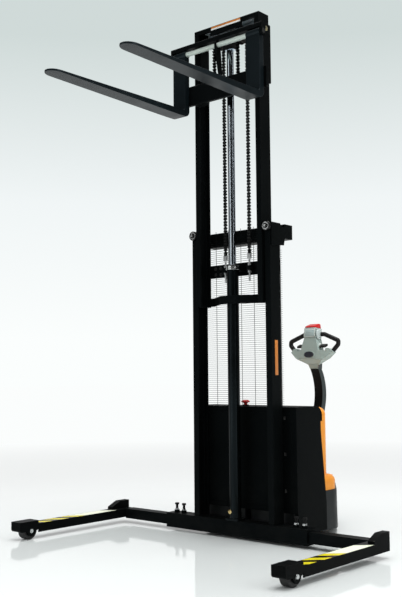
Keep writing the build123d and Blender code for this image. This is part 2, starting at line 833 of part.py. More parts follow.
# Body panels
with BuildPart() as front_panel:
    with BuildSketch(Plane.XZ.offset(-body_front)):
        with BuildLine():
            Polyline(
                (-body_half, front_low),
                (body_half, front_low),
                (body_half, body_top - panel),
                (-body_half, body_top - panel),
                close=True,
            )
        make_face()
    extrude(amount=-panel)
    with BuildSketch(Plane.XZ.offset(-body_front)):
        for hatch_x in (5.0 - body_half / 2, body_half / 2 - 5.0):
            with Locations((hatch_x, (front_low + body_top) / 2)):
                RectangleRounded(body_half - 58.0, body_top - front_low - 70.0, 12.0)
    extrude(amount=3.0)

with BuildPart() as side_panel_right:
    with BuildSketch(Plane.XY.offset(side_low)):
        with BuildLine():
            FilletPolyline(
                (body_half, body_front + panel),
                (body_half, body_rear),
                (cover_half - 20.0, body_rear),
                radius=body_bend,
            )
            offset(amount=panel, side=Side.LEFT)
        make_face()
    extrude(amount=body_top - side_low)
    with BuildSketch(Plane.YZ):
        with BuildLine():
            Polyline(
                (body_rear - roll, body_top - panel),
                (body_front, body_top - panel),
                (body_front, side_low),
                (body_rear + panel, side_low),
                (body_rear + panel, body_top - roll_drop),
                (body_rear - panel, body_top - roll_drop),
                (body_rear - panel, body_top - roll),
            )
            RadiusArc(
                (body_rear - panel, body_top - roll),
                (body_rear - roll, body_top - panel),
                -(roll - panel),
            )
        make_face()
    extrude(amount=2 * body_half, mode=Mode.INTERSECT)
    fin_root = body_rear - body_bend
    with BuildSketch(Plane.YZ.offset(body_half)):
        with BuildLine():
            Polyline(
                (fin_root, body_top - roll_drop),
                (fin_root + fin_deep, fin_high),
                (fin_root + fin_deep, side_low),
                (fin_root, side_low),
                close=True,
            )
        make_face()
    extrude(amount=-panel)

with BuildPart() as side_panel_left:
    mirror(side_panel_right.part, about=Plane.YZ)

with BuildPart() as top_cover:
    with BuildSketch(Plane.YZ.offset(-body_half)):
        with BuildLine():
            FilletPolyline(
                (body_front, body_top),
                (body_rear, body_top),
                (body_rear, body_top - roll_drop),
                radius=roll,
            )
            offset(amount=panel, side=Side.RIGHT)
        make_face()
    extrude(amount=2 * body_half)
    with BuildSketch(Plane.XY.offset(body_top)):
        with Locations((estop_x, estop_y)):
            Circle(estop_collar)
    extrude(amount=collar_high)
    with BuildSketch(Plane.XY.offset(body_top - panel)):
        with Locations((estop_x, estop_y)):
            Circle(estop_stem + run)
    extrude(amount=panel + collar_high, mode=Mode.SUBTRACT)

with BuildPart() as rear_cover:
    with BuildSketch(Plane.XY.offset(tray_low)):
        with BuildLine():
            Polyline(
                (-cover_half, body_rear),
                (cover_half, body_rear),
                (cover_half, cover_rear),
                (-cover_half, cover_rear),
                close=True,
            )
        cover_plan = make_face()
        fillet(cover_plan.vertices().group_by(Axis.Y)[-1], cover_corner)
    extrude(amount=cover_high - tray_low)
    rim = rear_cover.faces().sort_by(Axis.Z)[-1].edges()
    fillet(rim.filter_by(lambda e: e.center().Y > body_rear + 1.0), cover_edge)
    mouths = [rear_cover.faces().sort_by(Axis.Z)[0], rear_cover.faces().sort_by(Axis.Y)[0]]
    offset(amount=-panel, openings=mouths)
    with Locations((0, steer_y, 0)):
        Cylinder(
            skirt_radius + 5.0,
            dome_high + 5.0,
            align=(Align.CENTER, Align.CENTER, Align.MIN),
            mode=Mode.SUBTRACT,
        )

inside_y = body_front + 130.0
battery_x = tray_half / 2 - 11.5
with BuildPart() as batteries:
    with BuildSketch(Plane.XY.offset(tray_low + tray_plate)):
        with Locations((-battery_x, inside_y), (battery_x, inside_y)):
            RectangleRounded(2 * battery_x - 40.0, 175.0, 8.0)
    extrude(amount=battery_high)
    with BuildSketch(Plane.XY.offset(tray_low + tray_plate + battery_high)):
        for post_x in (-battery_x - 115.0, 115.0 - battery_x, battery_x - 115.0, battery_x + 115.0):
            with Locations((post_x, inside_y - 55.0)):
                Circle(9.0)
    extrude(amount=post_high)

with BuildPart() as power_unit:
    with BuildSketch(Plane.XY.offset(shelf_z)):
        with Locations((183.0 - tray_half, inside_y)):
            RectangleRounded(260.0, 190.0, 20.0)
    extrude(amount=240.0)
    with BuildSketch(Plane.XY.offset(shelf_z)):
        with Locations((60.0, inside_y)):
            Circle(62.0)
    extrude(amount=300.0)
    with BuildSketch(Plane.XY.offset(shelf_z)):
        with Locations((tray_half - 138.0, inside_y)):
            Rectangle(160.0, 190.0)
            with GridLocations(0, 38.0, 1, 5):
                Rectangle(110.0, 12.0, mode=Mode.SUBTRACT)
    extrude(amount=120.0)

with BuildPart() as estop_button:
    with BuildSketch(Plane(origin=(estop_x, estop_y, body_top), x_dir=(1, 0, 0), z_dir=(0, -1, 0))):
        with BuildLine():
            Polyline(
                (12.0, 35.0),
                (0, 35.0),
                (0, -24.0),
                (estop_stem, -24.0),
                (estop_stem, collar_high + 8.0),
                (estop_stem + 4.0, collar_high + 8.0),
                (estop_stem + 4.0, 21.0),
                (27.0, 21.0),
                (27.0, 26.0),
            )
            ThreePointArc((27.0, 26.0), (21.0, 32.0), (12.0, 35.0))
        make_face()
    revolve(axis=Axis((estop_x, estop_y, 0), (0, 0, 1)))

# Drive: skirt, steered dome with the tiller bracket, gear head and wheel
bridge_high = bridge_low + bridge_thick
with BuildPart() as drive_skirt:
    with BuildSketch(Plane.XZ.offset(-steer_y)):
        with BuildLine():
            Polyline(
                (skirt_radius, skirt_low),
                (skirt_radius, skirt_high),
                (skirt_radius - panel, skirt_high),
                (skirt_radius - panel, bridge_high + panel),
                (bridge_half - 30.0, bridge_high + panel),
                (bridge_half - 30.0, bridge_high),
                (skirt_radius - panel, bridge_high),
                (skirt_radius - panel, skirt_low),
                close=True,
            )
        make_face()
    revolve(axis=Axis((0, steer_y, 0), (0, 0, 1)))
    with BuildSketch(Plane.XY.offset(bridge_low - 1.0)):
        with Locations((0, steer_y - skirt_radius)):
            Rectangle(2 * bridge_half + 2.0, skirt_radius)
    extrude(amount=bridge_thick + 1.0, mode=Mode.SUBTRACT)

bracket_gap = arm_half + 1.0
with BuildPart() as drive_dome:
    with BuildSketch(Plane.XZ.offset(-steer_y)):
        with BuildLine():
            Polyline(
                (70.0, dome_high),
                (dome_radius - 60.0, dome_high),
                (dome_radius - 22.0, dome_high - 20.0),
                (dome_radius, dome_high - 62.0),
                (dome_radius, dome_low),
                (dome_radius - panel, dome_low),
                (dome_radius - panel, dome_high - 64.0),
                (dome_radius - 26.0, dome_high - 24.0),
                (dome_radius - 62.0, dome_high - panel),
                (70.0, dome_high - panel),
                close=True,
            )
        make_face()
    revolve(axis=Axis((0, steer_y, 0), (0, 0, 1)))
    with BuildSketch(Plane.YZ.offset(bracket_gap)):
        with BuildLine():
            Polyline(
                (tilt_y - 70.0, dome_high - panel),
                (tilt_y + 24.0, dome_high - panel),
                (tilt_y + 24.0, tilt_z),
                (tilt_y - 24.0, tilt_z),
                close=True,
            )
        make_face()
        with Locations((tilt_y, tilt_z)):
            Circle(24.0)
            Circle(tilt_pin + run, mode=Mode.SUBTRACT)
    extrude(amount=10.0)
    mirror(about=Plane.YZ)

with BuildPart() as drive_unit:
    with BuildSketch(Plane.XY.offset(bridge_low - 14.0)):
        with Locations((0, steer_y)):
            Circle(king_radius + 30.0)
    extrude(amount=14.0 - gap)
    with BuildSketch(Plane.XY.offset(bridge_low - gap)):
        with Locations((0, steer_y)):
            Circle(king_radius)
    extrude(amount=bridge_thick + 2 * gap)
    with BuildSketch(Plane.XY.offset(bridge_high + gap)):
        with Locations((0, steer_y)):
            Circle(68.0)
    extrude(amount=dome_high - 15.0 - bridge_high - gap)
    with BuildSketch(Plane.XY.offset(dome_high - 15.0)):
        with Locations((0, steer_y)):
            Circle(92.0)
    extrude(amount=15.0 - panel)
    with BuildSketch(Plane.YZ.offset(drive_wide / 2 + 4.0)):
        with BuildLine():
            Polyline(
                (steer_y - 95.0, bridge_low - 14.0),
                (steer_y - 45.0, drive_radius - 40.0),
                (steer_y + 45.0, drive_radius - 40.0),
                (steer_y + 95.0, bridge_low - 14.0),
                close=True,
            )
        gear_case = make_face()
        fillet(gear_case.vertices().group_by(Axis.Z)[0], 30.0)
    extrude(amount=46.0)
    with BuildSketch(Plane.YZ.offset(drive_wide / 2 + 4.0)):
        with Locations((steer_y, drive_radius)):
            Circle(20.0)
    extrude(amount=-drive_wide - 4.0)

with BuildPart() as drive_wheel:
    with BuildSketch(Plane.YZ.offset(-drive_wide / 2)):
        with Locations((steer_y, drive_radius)):
            Circle(drive_radius)
            Circle(20.0 + run, mode=Mode.SUBTRACT)
    extrude(amount=drive_wide)
    shoulder = drive_wheel.edges().filter_by(GeomType.CIRCLE).group_by(SortBy.RADIUS)[-1]
    chamfer(shoulder, 7.0)

# Tiller: curved arm on a cross pin, wing-shaped head, grips and controls
arm_deep = 50.0
neck_fore = (neck_y - arm_deep / 2 * cos(head_lean), neck_z - arm_deep / 2 * sin(head_lean))
neck_aft = (neck_y + arm_deep / 2 * cos(head_lean), neck_z + arm_deep / 2 * sin(head_lean))
with BuildPart() as tiller_arm:
    with BuildSketch(Plane.YZ):
        with BuildLine():
            Line((tilt_y - 22.0, tilt_z), (outer_front + 925.0, bow_low))
            ThreePointArc(
                (outer_front + 925.0, bow_low),
                (outer_front + 939.0, bow_mid),
                neck_fore,
            )
            Line(neck_fore, neck_aft)
            ThreePointArc(
                neck_aft,
                (outer_front + 988.0, bow_mid),
                (outer_front + 975.0, bow_low),
            )
            Line((outer_front + 975.0, bow_low), (tilt_y + 22.0, tilt_z))
            Line((tilt_y + 22.0, tilt_z), (tilt_y - 22.0, tilt_z))
        make_face()
        with Locations((tilt_y, tilt_z)):
            Circle(22.0)
    extrude(amount=arm_half, both=True)
    with BuildSketch(Plane.YZ):
        with Locations((tilt_y, tilt_z)):
            Circle(tilt_pin)
    extrude(amount=bracket_gap + 10.0, both=True)

head_y = neck_y - head_forward * cos(head_lean)
head_z = neck_z - head_forward * sin(head_lean)
head_plane = Plane(origin=(0, head_y, head_z), x_dir=(1, 0, 0), z_dir=(0, -cos(head_lean), -sin(head_lean)))
side_plane = Plane(origin=(0, head_y, head_z), x_dir=(0, -cos(head_lean), -sin(head_lean)), z_dir=(-1, 0, 0))
throttle_y = head_y - throttle_up * sin(head_lean)
throttle_z = head_z + throttle_up * cos(head_lean)
button_up = head_top + 8.0
button_stem = 10.0
cap_plane = Plane(
    origin=(0, head_y - button_up * sin(head_lean), head_z + button_up * cos(head_lean)),
    x_dir=(1, 0, 0),
    z_dir=(0, -sin(head_lean), cos(head_lean)),
)
rocker_up = 190.0
rocker_half = 16.0
rocker_out = head_thick / 2 + 9.0
rocker_y = head_y - rocker_up * sin(head_lean) + rocker_out * cos(head_lean)
rocker_z = head_z + rocker_up * cos(head_lean) + rocker_out * sin(head_lean)
neck_fore_out = arm_deep / 2 - head_forward
neck_aft_out = -arm_deep / 2 - head_forward
front_plane = Plane(origin=(0, head_y, head_z), x_dir=(1, 0, 0), z_dir=(0, -sin(head_lean), cos(head_lean)))
with BuildPart() as tiller_head:
    with BuildSketch(head_plane):
        with BuildLine():
            Polyline(
                (0, 0),
                (arm_half, 0),
                (arm_half + 7.0, 25.0),
                (123.0, 68.0),
                wing_low,
                wing_high,
                (120.0, 133.0),
                (114.0, 116.0),
                (column_half + 4.0, 120.0),
                (column_half, shoulder_up),
                (head_half, box_low),
                (0, box_low),
                close=True,
            )
        make_face()
        mirror(about=Plane.YZ)
    extrude(amount=head_thick, both=True)
    with BuildSketch(front_plane):
        with BuildLine():
            Polyline(
                (0, -column_front),
                (column_half - 6.0, -column_front),
                (wing_low[0], -wing_front),
                (wing_low[0], head_thick / 2),
                (0, head_thick / 2),
                close=True,
            )
        make_face()
        mirror(about=Plane.YZ)
    extrude(amount=head_top, mode=Mode.INTERSECT)
    with BuildSketch(side_plane):
        with BuildLine():
            Polyline(
                (-head_thick, 0),
                (neck_fore_out, 0),
                (neck_fore_out + 14.0, 30.0),
                (column_front, chin_up),
                (column_front, box_low),
                (-head_thick, box_low),
                close=True,
            )
        make_face()
    extrude(amount=2 * wing_low[0], both=True, mode=Mode.INTERSECT)
    with BuildSketch(side_plane):
        with BuildLine():
            Polyline(
                (neck_aft_out, 0),
                (neck_fore_out, 0),
                (neck_fore_out + 14.0, 30.0),
                (0, 60.0),
                (-head_thick / 2, 100.0),
                (neck_aft_out, 45.0),
                close=True,
            )
        make_face()
    extrude(amount=arm_half, both=True)
    with BuildSketch(head_plane.offset(-head_thick / 2)):
        with Locations((0, box_low)):
            Rectangle(2 * head_half + 4.0, head_top - box_low, align=(Align.CENTER, Align.MIN))
    extrude(amount=head_thick)
    with BuildSketch(head_plane.offset(column_front)):
        with Locations((0, 88.0)):
            Ellipse(42.0, 23.0)
    extrude(amount=3.0)
    with BuildSketch(Plane.YZ.offset(-column_half)):
        with Locations((throttle_y, throttle_z)):
            Circle(throttle_radius + run)
    extrude(amount=2 * column_half, mode=Mode.SUBTRACT)
    with BuildSketch(cap_plane):
        Circle(button_stem + run)
    extrude(amount=-60.0, mode=Mode.SUBTRACT)
    for ear_x, ear_wide in ((rocker_half + gap, 5.0), (-rocker_half - gap, -5.0)):
        with BuildSketch(Plane.YZ.offset(ear_x)):
            with Locations((rocker_y - 8.0, rocker_z)):
                Rectangle(16.0, 14.0)
            with Locations((rocker_y, rocker_z)):
                Circle(7.0)
                Circle(3.0 + run, mode=Mode.SUBTRACT)
        extrude(amount=ear_wide)

grip_end = ((wing_low[0] + wing_high[0]) / 2, (wing_low[1] + wing_high[1]) / 2)
grip_out = 192.0
tip_slope = (wing_low[0] - wing_high[0]) / (wing_high[1] - wing_low[1])
grip_turn = grip_end[1] + (grip_out - grip_end[0]) * tip_slope
with BuildPart() as tiller_grips:
    with BuildLine(head_plane.offset(grip_radius - head_thick / 2 + 1.0)) as grip_path:
        FilletPolyline(
            (head_half + 2.0, 232.0),
            (head_half + 36.0, 232.0),
            (grip_out, 186.0),
            (grip_out, grip_turn),
            grip_end,
            radius=14.0,
        )
    with BuildSketch(Plane(origin=grip_path.line @ 0, z_dir=grip_path.line % 0)):
        Circle(grip_radius)
    sweep(path=grip_path.line)
    mirror(about=Plane.YZ)

paddle_x = column_half + 5.0
paddle_wide = 40.0
with BuildPart() as throttle:
    with BuildSketch(Plane.YZ):
        with Locations((throttle_y, throttle_z)):
            Circle(throttle_radius)
    extrude(amount=paddle_x + paddle_wide, both=True)
    for paddle_side, paddle_run in ((paddle_x, paddle_wide), (-paddle_x, -paddle_wide)):
        with BuildSketch(Plane.YZ.offset(paddle_side)):
            with Locations((throttle_y, throttle_z)):
                SlotOverall(46.0, 16.0, rotation=20.0)
        extrude(amount=paddle_run)

with BuildPart() as belly_button:
    with BuildSketch(side_plane):
        with BuildLine():
            Polyline(
                (head_thick / 2 - 3.0, button_up),
                (head_thick / 2 - 3.0, button_up + 5.0),
                (10.0 - head_thick / 2, button_up + 24.0),
                (3.0 - head_thick / 2, button_up + 22.0),
                (3.0 - head_thick / 2, button_up),
                close=True,
            )
        make_face()
    extrude(amount=head_half - 2.0, both=True)
    with BuildSketch(cap_plane):
        Circle(button_stem)
    extrude(amount=-40.0)

with BuildPart() as lift_rocker:
    with BuildSketch(Plane.YZ):
        with Locations((rocker_y, rocker_z)):
            SlotOverall(44.0, 8.0, rotation=90.0 + head_tilt)
    extrude(amount=rocker_half, both=True)
    with BuildSketch(Plane.YZ):
        with Locations((rocker_y, rocker_z)):
            Circle(3.0)
    extrude(amount=rocker_half + gap + 5.0, both=True)

pieces = {
    "base_sleeve": base_sleeve,
    "chassis_frame": chassis_frame,
    "outer_mast_left": outer_mast_left,
    "outer_mast_right": outer_mast_right,
    "mast_top_tie": mast_top_tie,
    "chain_anchor_beam": chain_anchor_beam,
    "chain_anchor_rods": chain_anchor_rods,
    "chain_back_runs": chain_back_runs,
    "cylinder_barrel": cylinder_barrel,
    "cylinder_gland": cylinder_gland,
    "mesh_guard": mesh_guard,
    "front_panel": front_panel,
    "side_panel_left": side_panel_left,
    "side_panel_right": side_panel_right,
    "top_cover": top_cover,
    "rear_cover": rear_cover,
    "drive_skirt": drive_skirt,
    "batteries": batteries,
    "power_unit": power_unit,
    "leg_lock_bolts": leg_lock_bolts,
    "guide_roller_left": guide_roller_left,
    "guide_roller_right": guide_roller_right,
    "inner_mast_left": inner_mast_left,
    "inner_mast_right": inner_mast_right,
    "mast_head_beam": mast_head_beam,
    "mast_foot_tie": mast_foot_tie,
    "cylinder_rod": cylinder_rod,
    "sheave_axle": sheave_axle,
    "chain_wraps": chain_wraps,
    "mast_roller_left": mast_roller_left,
    "mast_roller_right": mast_roller_right,
    "chain_sheave_left": chain_sheave_left,
    "chain_sheave_right": chain_sheave_right,
    "carriage_top_bar": carriage_top_bar,
    "carriage_lower_bar": carriage_lower_bar,
    "carriage_side_left": carriage_side_left,
    "carriage_side_right": carriage_side_right,
    "carriage_rollers": carriage_rollers,
    "fork_shaft": fork_shaft,
    "chain_front_runs": chain_front_runs,
    "fork_left": fork_left,
    "fork_right": fork_right,
    "leg_beam_left": leg_beam_left,
    "leg_beam_right": leg_beam_right,
    "leg_slide_left": leg_slide_left,
    "leg_slide_right": leg_slide_right,
    "load_axle_left": load_axle_left,
    "load_axle_right": load_axle_right,
    "load_wheel_left": load_wheel_left,
    "load_wheel_right": load_wheel_right,
    "drive_unit": drive_unit,
    "drive_dome": drive_dome,
    "drive_wheel": drive_wheel,
    "tiller_arm": tiller_arm,
    "tiller_head": tiller_head,
    "tiller_grips": tiller_grips,
    "throttle": throttle,
    "belly_button": belly_button,
    "lift_rocker": lift_rocker,
    "estop_button": estop_button,
}
os.makedirs("parts", exist_ok=True)
for name, piece in pieces.items():
    piece.part.label = name
    export_step(piece.part, f"parts/{name}.step")
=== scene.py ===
"""Double mast stacker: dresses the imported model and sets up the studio. Lengths in metres."""

import json
import math

import bmesh
import bpy
from mathutils import Matrix, Vector


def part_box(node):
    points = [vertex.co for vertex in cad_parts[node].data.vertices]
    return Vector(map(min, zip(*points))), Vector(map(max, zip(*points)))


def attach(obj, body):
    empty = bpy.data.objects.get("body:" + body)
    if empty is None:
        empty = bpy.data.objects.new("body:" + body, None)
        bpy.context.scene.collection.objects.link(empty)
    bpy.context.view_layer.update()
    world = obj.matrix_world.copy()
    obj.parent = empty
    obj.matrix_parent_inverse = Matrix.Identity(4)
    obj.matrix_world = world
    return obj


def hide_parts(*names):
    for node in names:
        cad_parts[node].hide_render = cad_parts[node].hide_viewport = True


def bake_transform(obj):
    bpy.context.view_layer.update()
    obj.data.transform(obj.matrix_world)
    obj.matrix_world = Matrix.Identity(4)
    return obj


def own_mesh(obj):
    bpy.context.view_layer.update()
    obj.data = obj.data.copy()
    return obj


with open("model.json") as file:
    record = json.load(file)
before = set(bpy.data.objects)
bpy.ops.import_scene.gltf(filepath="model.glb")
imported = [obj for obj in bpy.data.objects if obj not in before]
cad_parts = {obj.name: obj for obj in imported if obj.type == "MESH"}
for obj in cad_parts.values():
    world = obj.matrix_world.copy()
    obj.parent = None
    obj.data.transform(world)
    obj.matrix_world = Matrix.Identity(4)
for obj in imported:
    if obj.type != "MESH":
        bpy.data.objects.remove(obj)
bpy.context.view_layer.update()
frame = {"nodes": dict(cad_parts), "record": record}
nodes = frame["nodes"]
scene = bpy.context.scene
joints = {joint["name"]: joint for joint in frame["record"]["behaviour"]["joints"]}
TAU = 2 * math.pi
SIDES = (-1, 1)
ACROSS = Vector((1, 0, 0))
FORWARD = Vector((0, -1, 0))
UPWARD = Vector((0, 0, 1))


# Palette: most entries are a pair, a base colour and the tint that it drifts to

WHITE = (1.0, 1.0, 1.0)
COLD = (0.66, 0.88, 1.0)
DUST = (0.20, 0.19, 0.17)
GRIME = (0.10, 0.10, 0.095)
BLACK = ((0.0016, 0.0021, 0.0021), (0.0026, 0.0032, 0.0033))
BLACK_RUBBED = (0.06, 0.066, 0.07)
FORK_BLACK = ((0.0024, 0.0044, 0.0054), (0.0044, 0.0074, 0.0088))
FORK_RUBBED = (0.13, 0.16, 0.17)
LEG_RUBBED = (0.12, 0.12, 0.12)
TAPE_YELLOW = ((0.66, 0.58, 0.020), (0.56, 0.47, 0.018))
TAPE_PALE = ((0.80, 0.84, 0.66), (0.74, 0.78, 0.60))
TAPE_BLACK = (0.006, 0.006, 0.007)
TAPE_SCRATCH = (0.14, 0.13, 0.10)
ORANGE = ((0.80, 0.30, 0.026), (0.74, 0.265, 0.021))
ORANGE_RUBBED = (0.50, 0.17, 0.02)
DULL_ORANGE = ((0.55, 0.19, 0.035), (0.48, 0.16, 0.030))
DULL_ORANGE_RUBBED = (0.4, 0.2, 0.08)
OFF_WHITE = ((0.74, 0.76, 0.73), (0.68, 0.70, 0.67))
OFF_WHITE_RUBBED = (0.5, 0.5, 0.48)
# Strap grey: made pale as painted light, to make up for the shade inside the mast head
STRAP_PAINTED_LIGHT_GREY = ((0.30, 0.36, 0.40), (0.36, 0.42, 0.46))
STRAP_RUBBED = (0.12, 0.13, 0.14)
SKIRT_GREY = ((0.010, 0.0125, 0.0130), (0.014, 0.0168, 0.0175))
ARM_BLACK = ((0.0020, 0.0021, 0.0023), (0.0034, 0.0036, 0.0038))
ARM_SHELL = ((0.038, 0.047, 0.048), (0.050, 0.060, 0.060))
HEAD_GREY = ((0.345, 0.425, 0.395), (0.300, 0.375, 0.345))
PALE_GREY = ((0.60, 0.66, 0.63), (0.53, 0.59, 0.56))
POD_GREY = ((0.50, 0.57, 0.56), (0.45, 0.52, 0.51))
PANEL_GREY = ((0.38, 0.48, 0.475), (0.34, 0.435, 0.43))
CAP_BLACK = ((0.020, 0.022, 0.030), (0.028, 0.030, 0.040))
GRIP_BLACK = ((0.0035, 0.0035, 0.004), (0.007, 0.007, 0.0075))
RED = ((0.50, 0.012, 0.012), (0.42, 0.009, 0.009))
TYRE_BLACK = ((0.008, 0.008, 0.009), (0.045, 0.043, 0.040))
CHROME = ((0.54, 0.61, 0.67), (0.50, 0.57, 0.63))
SHAFT_GREY = ((0.54, 0.62, 0.57), (0.58, 0.66, 0.61))
ZINC = ((0.70, 0.72, 0.72), (0.60, 0.63, 0.63))
YELLOW_ZINC = ((0.60, 0.54, 0.30), (0.72, 0.67, 0.46))
BRASS = ((0.62, 0.46, 0.18), (0.74, 0.58, 0.28))
GREASED = ((0.012, 0.013, 0.013), (0.030, 0.031, 0.031))
OILED = ((0.030, 0.030, 0.031), (0.070, 0.069, 0.067))
ROLLER_DARK = ((0.012, 0.012, 0.012), (0.030, 0.030, 0.031))
# Bright steel of the guide rollers' ring, used as a painted highlight
ROLLER_PAINTED_HIGHLIGHT = ((0.52, 0.54, 0.54), (0.72, 0.74, 0.74))


# Materials: every one is built from nodes in the coordinates of the frame


class Nodes:
    """A node tree that starts empty, with short ways to add nodes to it."""

    def __init__(self, tree):
        self.tree = tree
        tree.nodes.clear()

    def feed(self, socket, value):
        """Feeds a socket from another one, or with a number, a vector or a colour."""
        if isinstance(value, bpy.types.NodeSocket):
            self.tree.links.new(value, socket)
        elif socket.type == "RGBA":
            socket.default_value = (*value, 1.0)
        else:
            socket.default_value = value

    def node(self, kind, sockets=None, **settings):
        """Adds a node, feeds its sockets from values or other nodes, and returns its outputs."""
        made = self.tree.nodes.new("ShaderNode" + kind)
        for key, value in settings.items():
            setattr(made, key, value)
        for key, value in (sockets or {}).items():
            self.feed(made.inputs[key], value)
        return made.outputs

    def part(self, vector, axis):
        return self.node("SeparateXYZ", {"Vector": vector})[axis]

    def dot(self, first, second):
        return self.node("VectorMath", {0: first, 1: second}, operation="DOT_PRODUCT")["Value"]

    def span(self, value, low, high, to_low=0.0, to_high=1.0):
        """Maps the span from low to high to another one, and holds the ends."""
        ends = {"From Min": low, "From Max": high, "To Min": to_low, "To Max": to_high}
        return self.node("MapRange", {"Value": value, **ends}, clamp=True)["Result"]

    def choose(self, share, first, second):
        """Mixes two shaders."""
        return self.node("MixShader", {"Fac": share, 1: first, 2: second})["Shader"]


class Shader(Nodes):
    """A Principled material whose colour, roughness and bump come from nodes in frame coordinates."""

    def __init__(self, name, **sockets):
        self.material = bpy.data.materials.new(name)
        self.material.use_nodes = True
        super().__init__(self.material.node_tree)
        self.surface = self.tree.nodes.new("ShaderNodeOutputMaterial").inputs["Surface"]
        self.bsdf = self.tree.nodes.new("ShaderNodeBsdfPrincipled")
        self.feed(self.surface, self.bsdf.outputs["BSDF"])
        self.place = self.node("TexCoord")["Object"]
        for socket, value in sockets.items():
            self.feed(self.bsdf.inputs[socket.replace("_", " ")], value)

    def colour(self, value):
        self.feed(self.bsdf.inputs["Base Color"], value)

    def roughness(self, value):
        self.feed(self.bsdf.inputs["Roughness"], value)

    def metallic(self, value):
        self.feed(self.bsdf.inputs["Metallic"], value)

    def stretch(self, scale):
        return self.node("Mapping", {"Vector": self.place, "Scale": scale})["Vector"]

    def noise(self, scale, detail=3.0, rough=0.55, place=None):
        grain = {"Scale": scale, "Detail": detail, "Roughness": rough}
        return self.node("TexNoise", {"Vector": place or self.place, **grain})["Fac"]

    def math(self, operation, first, second=0.0):
        return self.node("Math", {0: first, 1: second}, operation=operation)["Value"]

    def both(self, *shares):
        """The product of several shares."""
        result = shares[0]
        for share in shares[1:]:
            result = self.math("MULTIPLY", result, share)
        return result

    def less(self, first, second):
        return self.math("SUBTRACT", first, second)

    def absolute(self, value):
        return self.math("ABSOLUTE", value)

    def above(self, value, limit):
        return self.math("GREATER_THAN", value, limit)

    def below(self, value, limit):
        return self.math("LESS_THAN", value, limit)

    def mix(self, share, first, second):
        return self.node("Mix", {"Factor": share, "A": first, "B": second}, data_type="RGBA")["Result"]

    def cover(self, tone, share, strength, over):
        """Lays a colour over a tone, as far as share and strength say."""
        return self.mix(self.both(share, strength), tone, over)

    def clouds(self, pair, scale=4.0, detail=3.0, low=0.3):
        """A colour that drifts between the two of a pair."""
        return self.mix(self.span(self.noise(scale, detail), low, 0.7), *pair)

    def drift(self, low, high, scale=14.0, detail=4.0):
        """A number that drifts between low and high."""
        return self.span(self.noise(scale, detail), 0.3, 0.7, low, high)

    def part_of(self, axis):
        """A coordinate in the frame."""
        return self.part(self.place, axis)

    def normal(self):
        return self.node("NewGeometry")["Normal"]

    def facing(self, axis):
        """How far the surface looks along an axis of the frame."""
        frames = {"convert_from": "WORLD", "convert_to": "OBJECT"}
        turned = self.node("VectorTransform", {"Vector": self.normal()}, vector_type="NORMAL", **frames)
        return self.part(turned["Vector"], axis)

    def edges(self, radius):
        """1 near a sharp edge, 0 on open faces."""
        rounded = self.node("Bevel", {"Radius": radius}, samples=4)["Normal"]
        return self.span(self.dot(rounded, self.normal()), 0.97, 0.86)

    def worn_edges(self, radius, scale, low, high):
        """1 on scattered stretches of the sharp edges, 0 elsewhere."""
        return self.both(self.edges(radius), self.span(self.noise(scale, 5.0), low, high))

    def bump(self, scale, depth, strength, detail=2.0):
        """Fine relief made of noise."""
        sockets = {"Height": self.noise(scale, detail), "Distance": depth, "Strength": strength}
        self.feed(self.bsdf.inputs["Normal"], self.node("Bump", sockets)["Normal"])


# Wear of the edges: its width, the scale of the noise, and where the wear sets in and is full
PAINT_WEAR = (0.0022, 38.0, 0.52, 0.72)
LEG_WEAR = (0.0022, 38.0, 0.50, 0.72)
PLASTIC_WEAR = (0.004, 26.0, 0.45, 0.8)
# Streaks: the scale of the noise along X, Y and Z
DRAWN_STREAKS = (60.0, 60.0, 4.0)
TREAD_SCUFFS = (30.0, 220.0, 220.0)
TAPE_SCRATCHES = (50.0, 420.0, 60.0)
# How far a face has to look sideways or up to count as a side or a top
SIDE_FACING, TOP_FACING = 0.8, 0.9
# Relief of the surfaces: scale of the noise, depth in metres and strength, and for the tyre its detail
PAINT_GRAIN = (420.0, 0.00010, 0.5)
PLASTIC_GRAIN = (900.0, 0.00008, 0.6)
RUBBER_GRAIN = (520.0, 0.0002, 0.6)
PLATED_GRAIN = (600.0, 0.00004, 0.5)
TYRE_GRAIN = (260.0, 0.00025, 0.5, 4.0)


def painted_steel(name, pair, worn, rough, gloss=0.3, dust=0.05, wear=0.4, sheen=WHITE):
    """Sprayed paint: orange peel, dust on what faces up and near the floor, and rubbed edges."""
    made = Shader(name, Specular_IOR_Level=gloss, Specular_Tint=sheen)
    settled = made.span(made.facing("Z"), 0.35, 1.0)
    low = made.span(made.part_of("Z"), 0.5, 0.0)
    dusty = made.both(made.math("MAXIMUM", settled, low), made.span(made.noise(9.0, 6.0), 0.38, 0.75))
    tone = made.cover(made.clouds(pair, 2.6, low=0.35), dusty, dust, DUST)
    made.colour(made.cover(tone, made.worn_edges(*PAINT_WEAR), wear, worn))
    made.roughness(made.math("ADD", made.drift(rough - 0.05, rough + 0.06, 5.0), made.both(dusty, 0.15)))
    made.bump(*PAINT_GRAIN)
    return made.material


def moulded_plastic(name, pair, rough, grain=PLASTIC_GRAIN, gloss=0.5):
    """Injection-moulded plastic with a fine eroded grain and slight fading."""
    made = Shader(name, Specular_IOR_Level=gloss)
    made.colour(made.cover(made.clouds(pair), made.worn_edges(*PLASTIC_WEAR), 0.25, GRIME))
    made.roughness(made.drift(rough - 0.06, rough + 0.07))
    made.bump(*grain)
    return made.material


def side_shell(made):
    """1 on the faces of the tiller that look to the left or right."""
    return made.above(made.absolute(made.facing("X")), SIDE_FACING)


def arm_plastic(name):
    """Tiller arm: dark front and back, with lighter grey side shells."""
    made = Shader(name, Specular_IOR_Level=0.10)
    made.colour(made.mix(side_shell(made), made.clouds(ARM_BLACK), made.clouds(ARM_SHELL, 5.0)))
    made.roughness(made.drift(0.38, 0.50))
    made.bump(*PLASTIC_GRAIN)
    return made.material


NECK_TOP = 1.056


